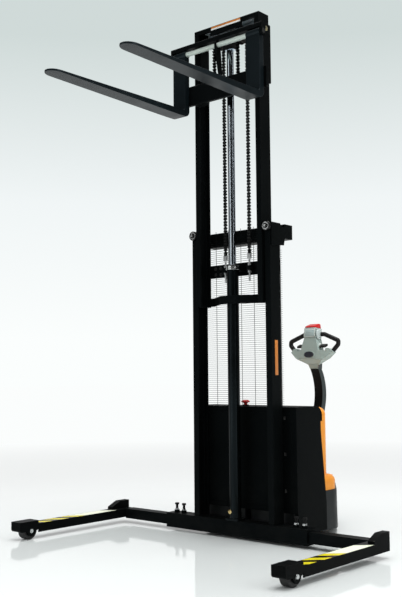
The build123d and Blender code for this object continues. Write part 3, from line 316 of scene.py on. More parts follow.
def head_shell(name):
    """Light grey tiller head, with the dark side shells of the arm running up its neck."""
    made = Shader(name, Specular_IOR_Level=0.4)
    light = made.cover(made.clouds(HEAD_GREY), made.worn_edges(*PLASTIC_WEAR), 0.3, GRIME)
    shell = made.both(side_shell(made), made.below(made.part_of("Z"), NECK_TOP))
    made.colour(made.mix(shell, light, made.clouds(ARM_SHELL)))
    made.roughness(made.drift(0.36, 0.48))
    made.bump(*PLASTIC_GRAIN)
    return made.material


def plated_steel(name, pair, rough, spangle=160.0):
    """Plated steel: cloudy tone with a fine scatter of brighter and darker grains."""
    made = Shader(name, Metallic=1.0)
    cells = made.node("TexVoronoi", {"Vector": made.place, "Scale": spangle})["Distance"]
    cloud = made.both(made.noise(45.0, 4.0), made.span(cells, 0.0, 0.9, 0.6, 1.2))
    made.colour(made.mix(made.span(cloud, 0.25, 0.6), *pair))
    made.roughness(made.drift(rough - 0.07, rough + 0.10, 70.0))
    made.bump(*PLATED_GRAIN)
    return made.material


def part_painted(name, pair, rough, axis, limit, metallic=1.0):
    """Bright metal that is painted black beyond a limit along one axis."""
    made = Shader(name, Specular_IOR_Level=0.3)
    painted = made.above(made.absolute(made.part_of(axis)), limit)
    film = made.noise(1.0, 4.0, 0.6, made.stretch(DRAWN_STREAKS))
    bright = made.mix(made.span(film, 0.35, 0.75), *pair)
    made.colour(made.mix(painted, bright, made.clouds(BLACK)))
    made.metallic(made.span(painted, 0.0, 1.0, metallic, 0.0))
    spread = made.drift(rough - 0.005, rough + 0.008, 30.0, 3.0)
    made.roughness(made.math("ADD", spread, made.both(painted, 0.36)))
    return made.material


def tyre(name):
    """Dark polyurethane with scuffs round the tread."""
    made = Shader(name, Specular_IOR_Level=0.4)
    scuff = made.noise(1.0, 6.0, 0.65, made.stretch(TREAD_SCUFFS))
    made.colour(made.mix(made.span(scuff, 0.45, 0.8), *TYRE_BLACK))
    made.roughness(made.span(scuff, 0.3, 0.8, 0.42, 0.72))
    made.bump(*TYRE_GRAIN)
    return made.material


# Tape on the legs: its stripes are counted from far in front, so that no count is negative
LEG_X = joints["load_wheel_right_roll"]["pos_m"][0]
TAPE_HALF = 0.0395
TAPE_FRONT = -0.598
TAPE_REAR = -0.012
STRIPE_FIRST = -0.579
STRIPE_PITCH = 0.131
STRIPE_SHARE = 0.26
STRIPES_BEFORE = 40.5
PALE_FROM = -0.281


def leg_paint(name):
    """Black leg with a glossy tape on its top: yellow and black stripes in front, pale behind."""
    made = Shader(name, Specular_IOR_Level=0.03)
    black = made.clouds(BLACK, 2.6, low=0.35)
    black = made.cover(black, made.worn_edges(*LEG_WEAR), 0.4, LEG_RUBBED)
    middle = made.both(made.math("SIGN", made.part_of("X")), LEG_X)
    across = made.less(made.part_of("X"), middle)
    along = made.less(made.part_of("Y"), across)
    tape = made.both(
        made.below(made.absolute(across), TAPE_HALF),
        made.above(made.facing("Z"), TOP_FACING),
        made.above(made.part_of("Y"), TAPE_FRONT),
        made.below(along, TAPE_REAR),
    )
    start = STRIPE_FIRST - STRIPES_BEFORE * STRIPE_PITCH
    turns = made.math("DIVIDE", made.less(along, start), STRIPE_PITCH)
    band = made.below(made.absolute(made.less(made.math("FRACT", turns), 0.5)), STRIPE_SHARE)
    tone = made.span(made.noise(12.0, 5.0), 0.3, 0.75)
    stripe = made.mix(band, TAPE_BLACK, made.mix(tone, *TAPE_YELLOW))
    stripe = made.mix(made.above(along, PALE_FROM), stripe, made.mix(tone, *TAPE_PALE))
    scratched = made.span(made.noise(1.0, 7.0, 0.7, made.stretch(TAPE_SCRATCHES)), 0.62, 0.76)
    made.colour(made.mix(tape, black, made.cover(stripe, scratched, 0.25, TAPE_SCRATCH)))
    made.roughness(made.less(made.drift(0.36, 0.46, 5.0), made.both(tape, 0.22)))
    made.bump(*PAINT_GRAIN)
    return made.material


HIGHLIGHT_INNER, HIGHLIGHT_OUTER = 0.54, 0.80


def roller_steel(name):
    """Guide roller: dark, with a bright ring of bare steel on its face between two shares of its radius,
    partly its metal and partly a painted highlight.
    """
    made = Shader(name, Metallic=1.0)
    low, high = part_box("guide_roller_right")
    middle = (low + high) / 2
    radius = (high.z - low.z) / 2
    side = made.less(made.absolute(made.part_of("X")), middle.x)
    up = made.less(made.part_of("Z"), middle.z)
    out = made.math("SQRT", made.math("ADD", made.both(side, side), made.both(up, up)))
    # Painted highlight: a bright ring of bare steel that stands in for the light the roller catches
    ring = made.both(made.above(out, HIGHLIGHT_INNER * radius), made.below(out, HIGHLIGHT_OUTER * radius))
    made.colour(made.mix(ring, made.clouds(ROLLER_DARK, 60.0, 4.0), made.clouds(ROLLER_PAINTED_HIGHLIGHT, 90.0, 4.0)))
    made.roughness(made.drift(0.26, 0.42, 70.0))
    return made.material


# Where the paint of the part-painted pieces begins
ROD_SADDLE = 2.993
SHAFT_BARE = 0.345
LOCK_NUT_TOP = 0.131
GLAND_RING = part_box("cylinder_gland")[1].z - 0.006

black_paint = painted_steel("black_enamel", BLACK, BLACK_RUBBED, 0.42, 0.04, 0.02, 0.3, COLD)
gloss_black = painted_steel("gloss_barrel", BLACK, BLACK_RUBBED, 0.15, 0.15, 0.02, 0.2, COLD)
panel_paint = painted_steel("panel_powder", BLACK, BLACK_RUBBED, 0.44, 0.03, 0.02, 0.3, COLD)
fork_paint = painted_steel("fork_enamel", FORK_BLACK, FORK_RUBBED, 0.34, 0.19, 0.02, sheen=COLD)
orange_paint = painted_steel("orange_cover", ORANGE, ORANGE_RUBBED, 0.34, 0.28, 0.04, 0.25)
strip_orange = painted_steel("strip_orange", DULL_ORANGE, DULL_ORANGE_RUBBED, 0.34, 0.3, 0.03, 0.2)
strip_white = painted_steel("strip_white", OFF_WHITE, OFF_WHITE_RUBBED, 0.30, 0.4, 0.03, 0.2)
# The strap's pale grey is painted light: it is made lighter to make up for the shade that it sits in
strap_painted_light = painted_steel("strap_grey", STRAP_PAINTED_LIGHT_GREY, STRAP_RUBBED, 0.5)
striped_leg = leg_paint("leg_enamel")
skirt_plastic = moulded_plastic("skirt_plastic", SKIRT_GREY, 0.48, gloss=0.3)
tiller_plastic = arm_plastic("arm_plastic")
head_plastic = head_shell("head_plastic")
cap_plastic = moulded_plastic("cap_plastic", CAP_BLACK, 0.30)
pale_plastic = moulded_plastic("pale_plastic", PALE_GREY, 0.40)
pod_plastic = moulded_plastic("pod_plastic", POD_GREY, 0.42)
panel_plastic = moulded_plastic("panel_plastic", PANEL_GREY, 0.36)
grip_rubber = moulded_plastic("grip_rubber", GRIP_BLACK, 0.52, RUBBER_GRAIN, 0.25)
red_plastic = moulded_plastic("red_plastic", RED, 0.34, gloss=0.25)
dark_tyre = tyre("polyurethane_tyre")
chrome = part_painted("hard_chrome", CHROME, 0.07, "Z", ROD_SADDLE)
shaft_steel = part_painted("drawn_steel", SHAFT_GREY, 0.34, "X", SHAFT_BARE, 0.3)
lock_steel = part_painted("lock_bolts", ZINC, 0.28, "Z", LOCK_NUT_TOP)
gland_steel = part_painted("gland_steel", ZINC, 0.22, "Z", GLAND_RING)
zinc = plated_steel("zinc_plate", ZINC[::-1], 0.30)
gold_zinc = plated_steel("yellow_zinc", YELLOW_ZINC, 0.32)
brass = plated_steel("brass", BRASS, 0.28)
chain_steel = plated_steel("greased_chain", GREASED, 0.42, 220.0)
dark_steel = plated_steel("oiled_steel", OILED, 0.38, 220.0)
roller_with_highlight = roller_steel("roller_steel")


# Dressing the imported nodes

FINISHES = (
    (black_paint, "base_sleeve chassis_frame outer_mast_left outer_mast_right mast_top_tie"),
    (black_paint, "inner_mast_left inner_mast_right mast_head_beam mast_foot_tie chain_anchor_beam"),
    (black_paint, "carriage_top_bar carriage_lower_bar carriage_side_left carriage_side_right"),
    (black_paint, "leg_slide_left leg_slide_right mesh_guard"),
    (panel_paint, "front_panel side_panel_left side_panel_right top_cover"),
    (fork_paint, "fork_left fork_right"),
    (gloss_black, "cylinder_barrel"),
    (orange_paint, "rear_cover drive_dome"),
    (striped_leg, "leg_beam_left leg_beam_right"),
    (skirt_plastic, "drive_skirt batteries"),
    (tiller_plastic, "tiller_arm"),
    (head_plastic, "tiller_head"),
    (grip_rubber, "tiller_grips throttle lift_rocker"),
    (red_plastic, "belly_button estop_button"),
    (zinc, "chain_anchor_rods load_axle_left load_axle_right"),
    (gold_zinc, "sheave_axle"),
    (chrome, "cylinder_rod"),
    (shaft_steel, "fork_shaft"),
    (lock_steel, "leg_lock_bolts"),
    (gland_steel, "cylinder_gland"),
    (roller_with_highlight, "guide_roller_left guide_roller_right"),
    (dark_steel, "mast_roller_left mast_roller_right chain_sheave_left chain_sheave_right carriage_rollers"),
    (dark_steel, "power_unit drive_unit chain_wraps chain_back_runs chain_front_runs"),
    (dark_tyre, "load_wheel_left load_wheel_right drive_wheel"),
)
ROUNDING = {
    "base_sleeve": 0.003,
    "leg_beam_left": 0.003,
    "leg_beam_right": 0.003,
    "tiller_arm": 0.006,
    "tiller_head": 0.006,
    "carriage_top_bar": 0.0025,
    "carriage_lower_bar": 0.0025,
}
USUAL_ROUNDING = 0.0012
SHARP_ANGLE = math.radians(32.0)
FLAT_ANGLE = math.radians(0.4)
SMOOTH = ("tiller_grips", "estop_button")


def round_edges(obj, width):
    """Joins the triangles of flat faces and breaks the sharp edges, as on the real steel."""
    weld = obj.modifiers.new("join", "WELD")
    weld.merge_threshold = 1e-5
    flat = obj.modifiers.new("flat", "DECIMATE")
    flat.decimate_type = "DISSOLVE"
    flat.angle_limit = FLAT_ANGLE
    bevel = obj.modifiers.new("edge", "BEVEL")
    bevel.width = width
    bevel.segments = 2
    bevel.limit_method = "ANGLE"
    bevel.angle_limit = SHARP_ANGLE
    bevel.miter_outer = "MITER_ARC"
    normal = obj.modifiers.new("normal", "WEIGHTED_NORMAL")
    normal.keep_sharp = False
    normal.weight = 60


for finish, names in FINISHES:
    for node_name in names.split():
        piece = nodes[node_name]
        piece.data.materials.clear()
        piece.data.materials.append(finish)
        if node_name not in SMOOTH:
            round_edges(piece, ROUNDING.get(node_name, USUAL_ROUNDING))


# Mesh helpers

CREASE_ANGLE = math.radians(35.0)


def add_object(name, data):
    made = bpy.data.objects.new(name, data)
    scene.collection.objects.link(made)
    return made


def make_piece(name, shape, material, body):
    """Turns a bmesh into a piece that rides on a body, if one is given."""
    bmesh.ops.recalc_face_normals(shape, faces=shape.faces[:])
    mesh = bpy.data.meshes.new(name)
    shape.to_mesh(mesh)
    shape.free()
    mesh.materials.append(material)
    piece = add_object(name, mesh)
    mesh.polygons.foreach_set("use_smooth", [True] * len(mesh.polygons))
    mesh.set_sharp_from_angle(angle=CREASE_ANGLE)
    if body:
        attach(piece, body)
    return piece


def polar(angle):
    return Vector((math.cos(angle), math.sin(angle)))


def oval(shape, centre, across, up, count):
    """A ring of vertices: across and up are the half axes of the oval, as vectors."""
    turns = [polar(TAU * step / count) for step in range(count)]
    return [shape.verts.new(centre + across * turn.x + up * turn.y) for turn in turns]


def bridge(shape, first, second):
    count = len(first)
    for step in range(count):
        after = (step + 1) % count
        shape.faces.new((first[step], first[after], second[after], second[step]))


def loft(shape, rings):
    """Joins rings of vertices into a closed solid with flat ends."""
    for first, second in zip(rings, rings[1:]):
        bridge(shape, first, second)
    shape.faces.new(rings[0][::-1])
    shape.faces.new(rings[-1])


def loft_round(shape, rings):
    """Joins rings of vertices in a closed loop."""
    for first, second in zip(rings, rings[1:] + rings[:1]):
        bridge(shape, first, second)


def turned_rings(shape, start, direction, profile, count):
    """Rings of vertices round an axis, one for each (distance along, radius) pair."""
    axis = Vector(direction).normalized()
    side = axis.cross(UPWARD)
    side = side.normalized() if side.length > 1e-4 else ACROSS
    up = axis.cross(side).normalized()
    start = Vector(start)
    return [oval(shape, start + axis * along, side * radius, up * radius, count) for along, radius in profile]


def lathe(shape, start, direction, profile, count=20):
    """Adds a closed turned solid: profile is (distance along, radius) pairs."""
    loft(shape, turned_rings(shape, start, direction, profile, count))


def tube(shape, start, direction, profile, count=24):
    """Adds a turned ring: profile is a closed loop of (distance along, radius) pairs."""
    loft_round(shape, turned_rings(shape, start, direction, profile, count))


def hex_bolt(shape, seat, direction, across, high):
    """A hexagon head with chamfered corners on a washer, both sized from the width across flats."""
    seat = Vector(seat)
    axis = Vector(direction).normalized()
    thick = 0.2 * across
    washer = 0.98 * across
    corner = 0.575 * across / math.cos(math.pi / 6)
    lathe(shape, seat, axis, [(0, washer), (0.8 * thick, washer), (thick, 0.93 * across)], 24)
    lathe(shape, seat + axis * thick, axis, [(0, corner), (0.82 * high, corner), (high, 0.84 * corner)], 6)


def wire(shape, start, end, radius, count=6):
    start, end = Vector(start), Vector(end)
    lathe(shape, start, end - start, [(0, radius), ((end - start).length, radius)], count)


def soften(shape, edges, width):
    """Rounds edges of a shape."""
    bmesh.ops.bevel(shape, geom=list(edges), offset=width, segments=2, profile=0.5, affect="EDGES")


def plate(shape, low, high, soft=0.0004):
    """A closed box between two corners, with its edges broken."""
    made = bmesh.ops.create_cube(shape, size=1.0)
    low, high = Vector(low), Vector(high)
    for vert in made["verts"]:
        vert.co = [high[axis] if vert.co[axis] > 0 else low[axis] for axis in range(3)]
    edges = {edge for vert in made["verts"] for edge in vert.link_edges}
    soften(shape, edges, soft)


# Wire guard: its cross wires stick out a little past the mast

WIRE_PITCH = 0.0127
CROSS_RADIUS = 0.0011
CROSS_DEPTH = 0.0034
CROSS_MARGIN = 0.006
CROSS_ENDS = 0.0065
UPRIGHT_WIRES = 7
UPRIGHT_RADIUS = 0.0016
UPRIGHT_DEPTH = 0.0014
UPRIGHT_MARGIN = 0.004
UPRIGHT_SHORT = 0.002
TIE_GAP = 0.02
TIE_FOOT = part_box("mast_top_tie")[0].z - TIE_GAP
guard_low, guard_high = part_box("mesh_guard")
guard_wide = guard_high.x - guard_low.x - 2 * UPRIGHT_MARGIN
guard = bmesh.new()
y = guard_low.y + CROSS_DEPTH
for row in range(int((guard_high.z - guard_low.z - 2 * CROSS_MARGIN) / WIRE_PITCH) + 1):
    z = guard_low.z + CROSS_MARGIN + row * WIRE_PITCH
    reach = CROSS_ENDS if z < TIE_FOOT else 0.0
    wire(guard, (guard_low.x - reach, y, z), (guard_high.x + reach, y, z), CROSS_RADIUS)
y = guard_low.y + UPRIGHT_DEPTH
for column in range(UPRIGHT_WIRES):
    x = guard_low.x + UPRIGHT_MARGIN + guard_wide * column / (UPRIGHT_WIRES - 1)
    wire(guard, (x, y, guard_low.z), (x, y, guard_high.z - UPRIGHT_SHORT), UPRIGHT_RADIUS)
guard_piece = make_piece("wire_guard", guard, black_paint, "truck")
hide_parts("mesh_guard")


# Forks: one bar each, bent at the heel, with a blunt rounded tip and an eye for the shaft

FORK_THICK = 0.040
TIP_THICK = 0.011
TIP_ROUND = 0.065
TIP_ANGLE = math.radians(10.0)
TIP_STEPS = 9
HEEL_FLAT = 0.060
HEEL_RADIUS = 0.038
CROOK_RADIUS = 0.014
BEND_STEPS = 6
EYE_RADIUS = 0.024
EYE_BORE = 0.0152
FORK_ROUNDING = 0.0022


def fork_sections(low, high):
    """Yields (outer point, inner point, half width), in Y and Z, from the tip round the heel to the eye."""
    half = (high.x - low.x) / 2
    rear = high.y - EYE_RADIUS + FORK_THICK / 2
    front = rear - FORK_THICK
    top = low.z + FORK_THICK
    flat_start = front - HEEL_FLAT
    rise = (FORK_THICK - TIP_THICK) / (flat_start - low.y)
    for step in range(TIP_STEPS):
        angle = TIP_ANGLE + (math.pi / 2 - TIP_ANGLE) * step / (TIP_STEPS - 1)
        y = low.y + TIP_ROUND * (math.cos(TIP_ANGLE) - math.cos(angle))
        yield (y, low.z + rise * (flat_start - y)), (y, top), half * math.sin(angle)
    yield (flat_start, low.z), (flat_start, top), half
    for step in range(BEND_STEPS + 1):
        angle = math.pi / 2 * step / BEND_STEPS
        side, lift = math.sin(angle), 1 - math.cos(angle)
        outer = (rear - HEEL_RADIUS * (1 - side), low.z + HEEL_RADIUS * lift)
        inner = (front - CROOK_RADIUS * (1 - side), top + CROOK_RADIUS * lift)
        yield outer, inner, half
    shaft = high.z - EYE_RADIUS
    yield (rear, shaft - EYE_RADIUS), (front, shaft - EYE_RADIUS), half
    narrow = FORK_THICK / 2 - math.sqrt(EYE_RADIUS**2 - EYE_BORE**2)
    yield (rear - narrow, shaft - EYE_BORE), (front + narrow, shaft - EYE_BORE), half


for side in ("left", "right"):
    low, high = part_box(f"fork_{side}")
    middle = (low.x + high.x) / 2
    wide = high.x - low.x
    bar = bmesh.new()
    rings = []
    for outer, inner, half in fork_sections(low, high):
        corners = ((-half, outer), (half, outer), (half, inner), (-half, inner))
        rings.append([bar.verts.new((middle + across, *point)) for across, point in corners])
    loft(bar, rings)
    eye = (low.x, high.y - EYE_RADIUS, high.z - EYE_RADIUS)
    ring = [(0, EYE_BORE), (0, EYE_RADIUS), (wide, EYE_RADIUS), (wide, EYE_BORE)]
    tube(bar, eye, ACROSS, ring, 40)
    bar_piece = make_piece(f"fork_bar_{side}", bar, fork_paint, f"fork_{side}")
    round_edges(bar_piece, FORK_ROUNDING)
    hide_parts(f"fork_{side}")


# Leaf chains: the pitch divides the lift

LIFT = -joints["mast_lift"]["range_m"][0]
LINKS_IN_LIFT = 65
PITCH = LIFT / LINKS_IN_LIFT
INNER_HALF = 0.0060
OUTER_HALF = 0.0110
WAIST = 0.12
EYE_STEPS = 6
OUTER_ROW = (-0.0090, -0.0030, 0.0030, 0.0090)
INNER_ROW = (-0.0060, 0.0, 0.0060)
PLATE_THICK = 0.0027
PIN_RADIUS = 0.0028
PIN_HALF = 0.0108
CHAIN_HALF = 0.012


def link_end(pin, along, out, first_half, second_half):
    """Points round one end of a plate, from one side of it to the other, each side with its half width."""
    points = []
    for step in range(EYE_STEPS + 1):
        turn = polar(math.pi * step / EYE_STEPS)
        half = first_half if step <= EYE_STEPS / 2 else second_half
        points.append(pin + along * (INNER_HALF * turn.y) + out * (half * turn.x))
    return points


def link_plate(shape, first, second, offset, outer):
    """One figure-eight plate between two pins, in the YZ plane, wider on its outer side."""
    along = (second - first).normalized()
    out = ACROSS.cross(along)
    middle = (first + second) / 2
    outline = link_end(first, -along, out, outer, INNER_HALF)
    outline.append(middle - out * (INNER_HALF * WAIST))
    outline += link_end(second, along, -out, INNER_HALF, outer)
    outline.append(middle + out * (outer * WAIST))
    faces = (offset - PLATE_THICK / 2, offset + PLATE_THICK / 2)
    loft(shape, [[shape.verts.new(point + ACROSS * x) for point in outline] for x in faces])


def leaf_chain(shape, pins, parity=0, outer=OUTER_HALF):
    """Plates and pins along a list of pin places."""
    for count, (first, second) in enumerate(zip(pins, pins[1:])):
        for offset in OUTER_ROW if (count + parity) % 2 == 0 else INNER_ROW:
            link_plate(shape, first, second, offset, outer)
    half = ACROSS * PIN_HALF
    for pin in pins:
        wire(shape, pin - half, pin + half, PIN_RADIUS, 8)


back_low, back_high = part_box("chain_back_runs")
fore_low, fore_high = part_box("chain_front_runs")
wrap_low, wrap_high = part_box("chain_wraps")
CHAIN_X = (back_high.x - CHAIN_HALF, back_low.x + CHAIN_HALF)
back_y = (back_low.y + back_high.y) / 2
fore_y = (fore_low.y + fore_high.y) / 2
sheave_y = (wrap_low.y + wrap_high.y) / 2
sheave_z = wrap_low.z
pitch_radius = (back_y - fore_y) / 2

# The back run ends just below the sheave
BACK_GAP = 0.001
back_end = back_high.z - INNER_HALF - BACK_GAP
links = round((back_end - back_low.z) / PITCH)
fitted = (back_end - back_low.z) / links
back = bmesh.new()
for x in CHAIN_X:
    leaf_chain(back, [Vector((x, back_y, back_end - fitted * step)) for step in range(links + 1)])
back_piece = make_piece("chain_links_back", back, chain_steel, "truck")
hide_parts("chain_back_runs")
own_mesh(back_piece)

# Links over the sheaves
WRAP_LINKS = 7
WRAP_START = math.radians(9.0)
wrap = bmesh.new()
for x in CHAIN_X:
    pins = []
    for step in range(WRAP_LINKS + 1):
        turn = pitch_radius * polar(WRAP_START + (math.pi - 2 * WRAP_START) * step / WRAP_LINKS)
        pins.append(Vector((x, sheave_y + turn.x, sheave_z + turn.y)))
    leaf_chain(wrap, pins, 1, INNER_HALF)
wrap_piece = make_piece("chain_links_over", wrap, chain_steel, "inner_mast")
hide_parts("chain_wraps")

# The front run: equal lengths of chain, all laid in the same place
FRONT_LENGTHS = 6
FRONT_GAP = 0.002
FAR = 4000.0


def smooth_step_place(share):
    """The place between 0 and 1 where a smooth step reaches share."""
    place = share
    for _ in range(20):
        place -= (place * place * (3 - 2 * place) - share) / max(6 * place * (1 - place), 0.5)
    return place


links = int((fore_high.z - fore_low.z) / PITCH)
for length in range(FRONT_LENGTHS):
    run = bmesh.new()
    start = fore_low.z + FRONT_GAP
    for x in CHAIN_X:
        leaf_chain(run, [Vector((x, fore_y, start + PITCH * step)) for step in range(links + 1)])
    run_piece = make_piece(f"chain_links_front_{length + 1}", run, chain_steel, None)
    begin = fore_low.z - FAR * smooth_step_place(length / (FRONT_LENGTHS - 1))
    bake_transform(run_piece)
    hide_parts("chain_front_runs")


# Small fittings

# Nuts and pin ends that hold the guide rollers
NUT_SUNK = 0.0002
NUT_HIGH = 0.0030
NUT_PROFILE = ((0, 0.0145), (NUT_HIGH, 0.0145), (0.0036, 0.0125))
PIN_PROFILE = ((0, 0.0062), (0.003, 0.0062), (0.004, 0.0050))
pin_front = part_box("outer_mast_right")[0].y
nuts = bmesh.new()
pin_ends = bmesh.new()
for node_name in ("guide_roller_left", "guide_roller_right"):
    low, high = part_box(node_name)
    middle = (low + high) / 2
    lathe(nuts, (middle.x, pin_front + NUT_SUNK, middle.z), FORWARD, NUT_PROFILE, 6)
    lathe(pin_ends, (middle.x, pin_front - NUT_HIGH, middle.z), FORWARD, PIN_PROFILE)
make_piece("guide_roller_nuts", nuts, dark_steel, "truck")
make_piece("guide_pin_ends", pin_ends, zinc, "truck")

# Bolts through the chain anchor plate, between the masts
ANCHOR_PLATE = 0.010
ANCHOR_X = (-0.196, -0.152, 0.152, 0.196)
ANCHOR_UP = (0.020, 0.058)
ANCHOR_ACROSS, ANCHOR_HIGH = 0.012, 0.007
beam_low, beam_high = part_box("chain_anchor_beam")
bolts = bmesh.new()
for x in ANCHOR_X:
    for up in ANCHOR_UP:
        seat = (x, beam_high.y - ANCHOR_PLATE, beam_low.z + up)
        hex_bolt(bolts, seat, FORWARD, ANCHOR_ACROSS, ANCHOR_HIGH)
make_piece("anchor_bolts", bolts, dark_steel, "truck")

# Hose fitting at the foot of the cylinder
BARREL_RADIUS = 0.0365
FITTING_X, FITTING_Z, FITTING_SUNK = -0.012, 0.158, 0.006
FITTING_PROFILE = ((0, 0.010), (0.0065, 0.010), (0.0065, 0.0135), (0.0090, 0.0135), (0.0098, 0.0118))
barrel_low, barrel_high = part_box("cylinder_barrel")
barrel_front = (barrel_low.y + barrel_high.y) / 2 - BARREL_RADIUS
fitting = bmesh.new()
lathe(fitting, (FITTING_X, barrel_front + FITTING_SUNK, FITTING_Z), FORWARD, FITTING_PROFILE, 6)
make_piece("cylinder_fitting", fitting, brass, "truck")

# Hinges of the front panel, beside the right mast
mast_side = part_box("outer_mast_right")[1].x
panel_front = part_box("front_panel")[0].y
HINGE_X = mast_side + 0.010
HINGE_PLACES = (0.716, 0.506, 0.293)
LEAF_HALF, LEAF_THICK, LEAF_INNER, LEAF_OUTER = 0.010, 0.0015, 0.002, 0.010
KNUCKLE_HALF, KNUCKLE_RADIUS = 0.011, 0.0027
KNUCKLE = ((0, 0.0022), (0.001, KNUCKLE_RADIUS), (0.021, KNUCKLE_RADIUS), (0.022, 0.0022))
hinges = bmesh.new()
for z in HINGE_PLACES:
    leaf_low = (HINGE_X - LEAF_INNER, panel_front - LEAF_THICK, z - LEAF_HALF)
    plate(hinges, leaf_low, (HINGE_X + LEAF_OUTER, panel_front, z + LEAF_HALF))
    lathe(hinges, (HINGE_X, panel_front - KNUCKLE_RADIUS, z - KNUCKLE_HALF), UPWARD, KNUCKLE, 14)
make_piece("panel_hinges", hinges, dark_steel, "truck")

# Plain coloured strips on the right mast and on the mast head
PROUD = 0.0006
STRIP_SOFT = 0.0002
SIDE_LOW, SIDE_HIGH = (0.136, 0.968), (0.164, 1.173)
side_strip = bmesh.new()
plate(side_strip, (mast_side, *SIDE_LOW), (mast_side + PROUD, *SIDE_HIGH), STRIP_SOFT)
make_piece("side_strip", side_strip, strip_orange, "truck")
head_low, head_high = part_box("mast_head_beam")
STRIP_HALF, STRIP_LOW, STRIP_SPLIT, STRIP_HIGH = 0.117, 3.1395, 3.1495, 3.1615
for name, low_z, high_z, finish in (
    ("head_strip_low", STRIP_LOW, STRIP_SPLIT, strip_white),
    ("head_strip_high", STRIP_SPLIT, STRIP_HIGH, strip_orange),
):
    strip = bmesh.new()
    plate(strip, (-STRIP_HALF, head_low.y - PROUD, low_z), (STRIP_HALF, head_low.y, high_z), STRIP_SOFT)
    make_piece(name, strip, finish, "inner_mast")

# Grey strap across the back and top of the mast head, seen through the gaps beside the web: its pale grey is
# painted light, standing in for the light on the mast head's inner faces
STRAP_HALF, STRAP_FRONT, STRAP_BEND, STRAP_SOFT = 0.2210, 0.134, 0.1828, 0.0006
STRAP_LOW, STRAP_SHELF, STRAP_TOP = 3.102, 3.1600, 3.1655
strap = bmesh.new()
plate(strap, (-STRAP_HALF, STRAP_BEND, STRAP_LOW), (STRAP_HALF, head_high.y, STRAP_TOP), STRAP_SOFT)
plate(strap, (-STRAP_HALF, STRAP_FRONT, STRAP_SHELF), (STRAP_HALF, STRAP_BEND, STRAP_TOP), STRAP_SOFT)
make_piece("head_strap", strap, strap_painted_light, "inner_mast")


# Tiller head: its own axes are across, up along the safety button's travel, and out to the front

THROTTLE_UP = 0.150
HEAD_UP = -Vector(joints["belly_press"]["axis"])
HEAD_OUT = ACROSS.cross(HEAD_UP)
throttle_place = Vector(joints["throttle_turn"]["pos_m"])
HEAD_PLACE = throttle_place - HEAD_UP * THROTTLE_UP
HEAD_FRAME = Matrix((ACROSS, HEAD_UP, HEAD_OUT)).transposed().to_4x4()
HEAD_FRAME.translation = HEAD_PLACE
HEAD_FRONT = 0.038
HEAD_SOFT = 0.0005


def head_point(across, up, out):
    return HEAD_FRAME @ Vector((across, up, out))


def to_head(shape):
    """Moves a shape that was drawn in the head's own axes to the head."""
    bmesh.ops.transform(shape, matrix=HEAD_FRAME, verts=shape.verts[:])


# Plain oval cap on the front boss
CAP_UP, CAP_HALF_ACROSS, CAP_HALF_UP = 0.088, 0.042, 0.023
CAP_LAYERS = ((-0.0004, 0.93), (0.0004, 0.93), (0.0012, 0.90), (0.0020, 0.70), (0.0023, 0.40))
cap = bmesh.new()
rings = []
for along, size in CAP_LAYERS:
    centre = head_point(0, CAP_UP, HEAD_FRONT + along)
    across = ACROSS * (CAP_HALF_ACROSS * size)
    rings.append(oval(cap, centre, across, HEAD_UP * (CAP_HALF_UP * size), 40))
loft(cap, rings)
make_piece("head_cap", cap, cap_plastic, "tiller")

# Rounded pods on the sides of the box, where the grips come out
POD_UP, POD_X, POD_OUT, POD_HALF_UP, POD_HALF_OUT = 0.229, 0.046, 0.002, 0.0360, 0.0315


def side_pods(shape, layers):
    """Ovals on both sides of the box: layers are (distance along X, size) pairs."""
    for side in SIDES:
        rings = []
        for along, size in layers:
            centre = head_point(side * (POD_X + along), POD_UP, POD_OUT)
            across = HEAD_OUT * (POD_HALF_OUT * size)
            rings.append(oval(shape, centre, across, HEAD_UP * (POD_HALF_UP * size), 36))
        loft(shape, rings)


pods = bmesh.new()
side_pods(pods, ((0.0015, 1.0), (0.0050, 1.0), (0.0075, 0.95), (0.0090, 0.82)))
make_piece("head_pods", pods, pod_plastic, "tiller")
seams = bmesh.new()
side_pods(seams, ((-0.0008, 1.07), (0.0014, 1.07)))
make_piece("pod_seams", seams, grip_rubber, "tiller")

# Framed plain panel on the front of the box
for name, half, low_up, high_up, proud, finish in (
    ("panel_frame", 0.0415, 0.2085, 0.2615, 0.0012, pale_plastic),
    ("head_panel", 0.0365, 0.2130, 0.2570, 0.0019, panel_plastic),
):
    panel = bmesh.new()
    plate(panel, (-half, low_up, HEAD_FRONT), (half, high_up, HEAD_FRONT + proud), HEAD_SOFT)
    to_head(panel)
    make_piece(name, panel, finish, "tiller")

# Rim on top of the box, round the safety button
RIM_X, RIM_LOW, RIM_HIGH, RIM_SIDE, RIM_END, END_SOFT = 0.046, 0.2638, 0.2705, 0.0022, 0.0011, 0.0003
button_rim = bmesh.new()
for side in SIDES:
    inner_x, outer_x = sorted((side * RIM_X, side * (RIM_X - RIM_SIDE)))
    plate(button_rim, (inner_x, RIM_LOW, -HEAD_FRONT), (outer_x, RIM_HIGH, HEAD_FRONT), HEAD_SOFT)
    low_out, high_out = sorted((side * HEAD_FRONT, side * (HEAD_FRONT - RIM_END)))
    plate(button_rim, (-RIM_X, RIM_LOW, low_out), (RIM_X, RIM_HIGH, high_out), END_SOFT)
to_head(button_rim)
make_piece("button_rim", button_rim, pale_plastic, "tiller")

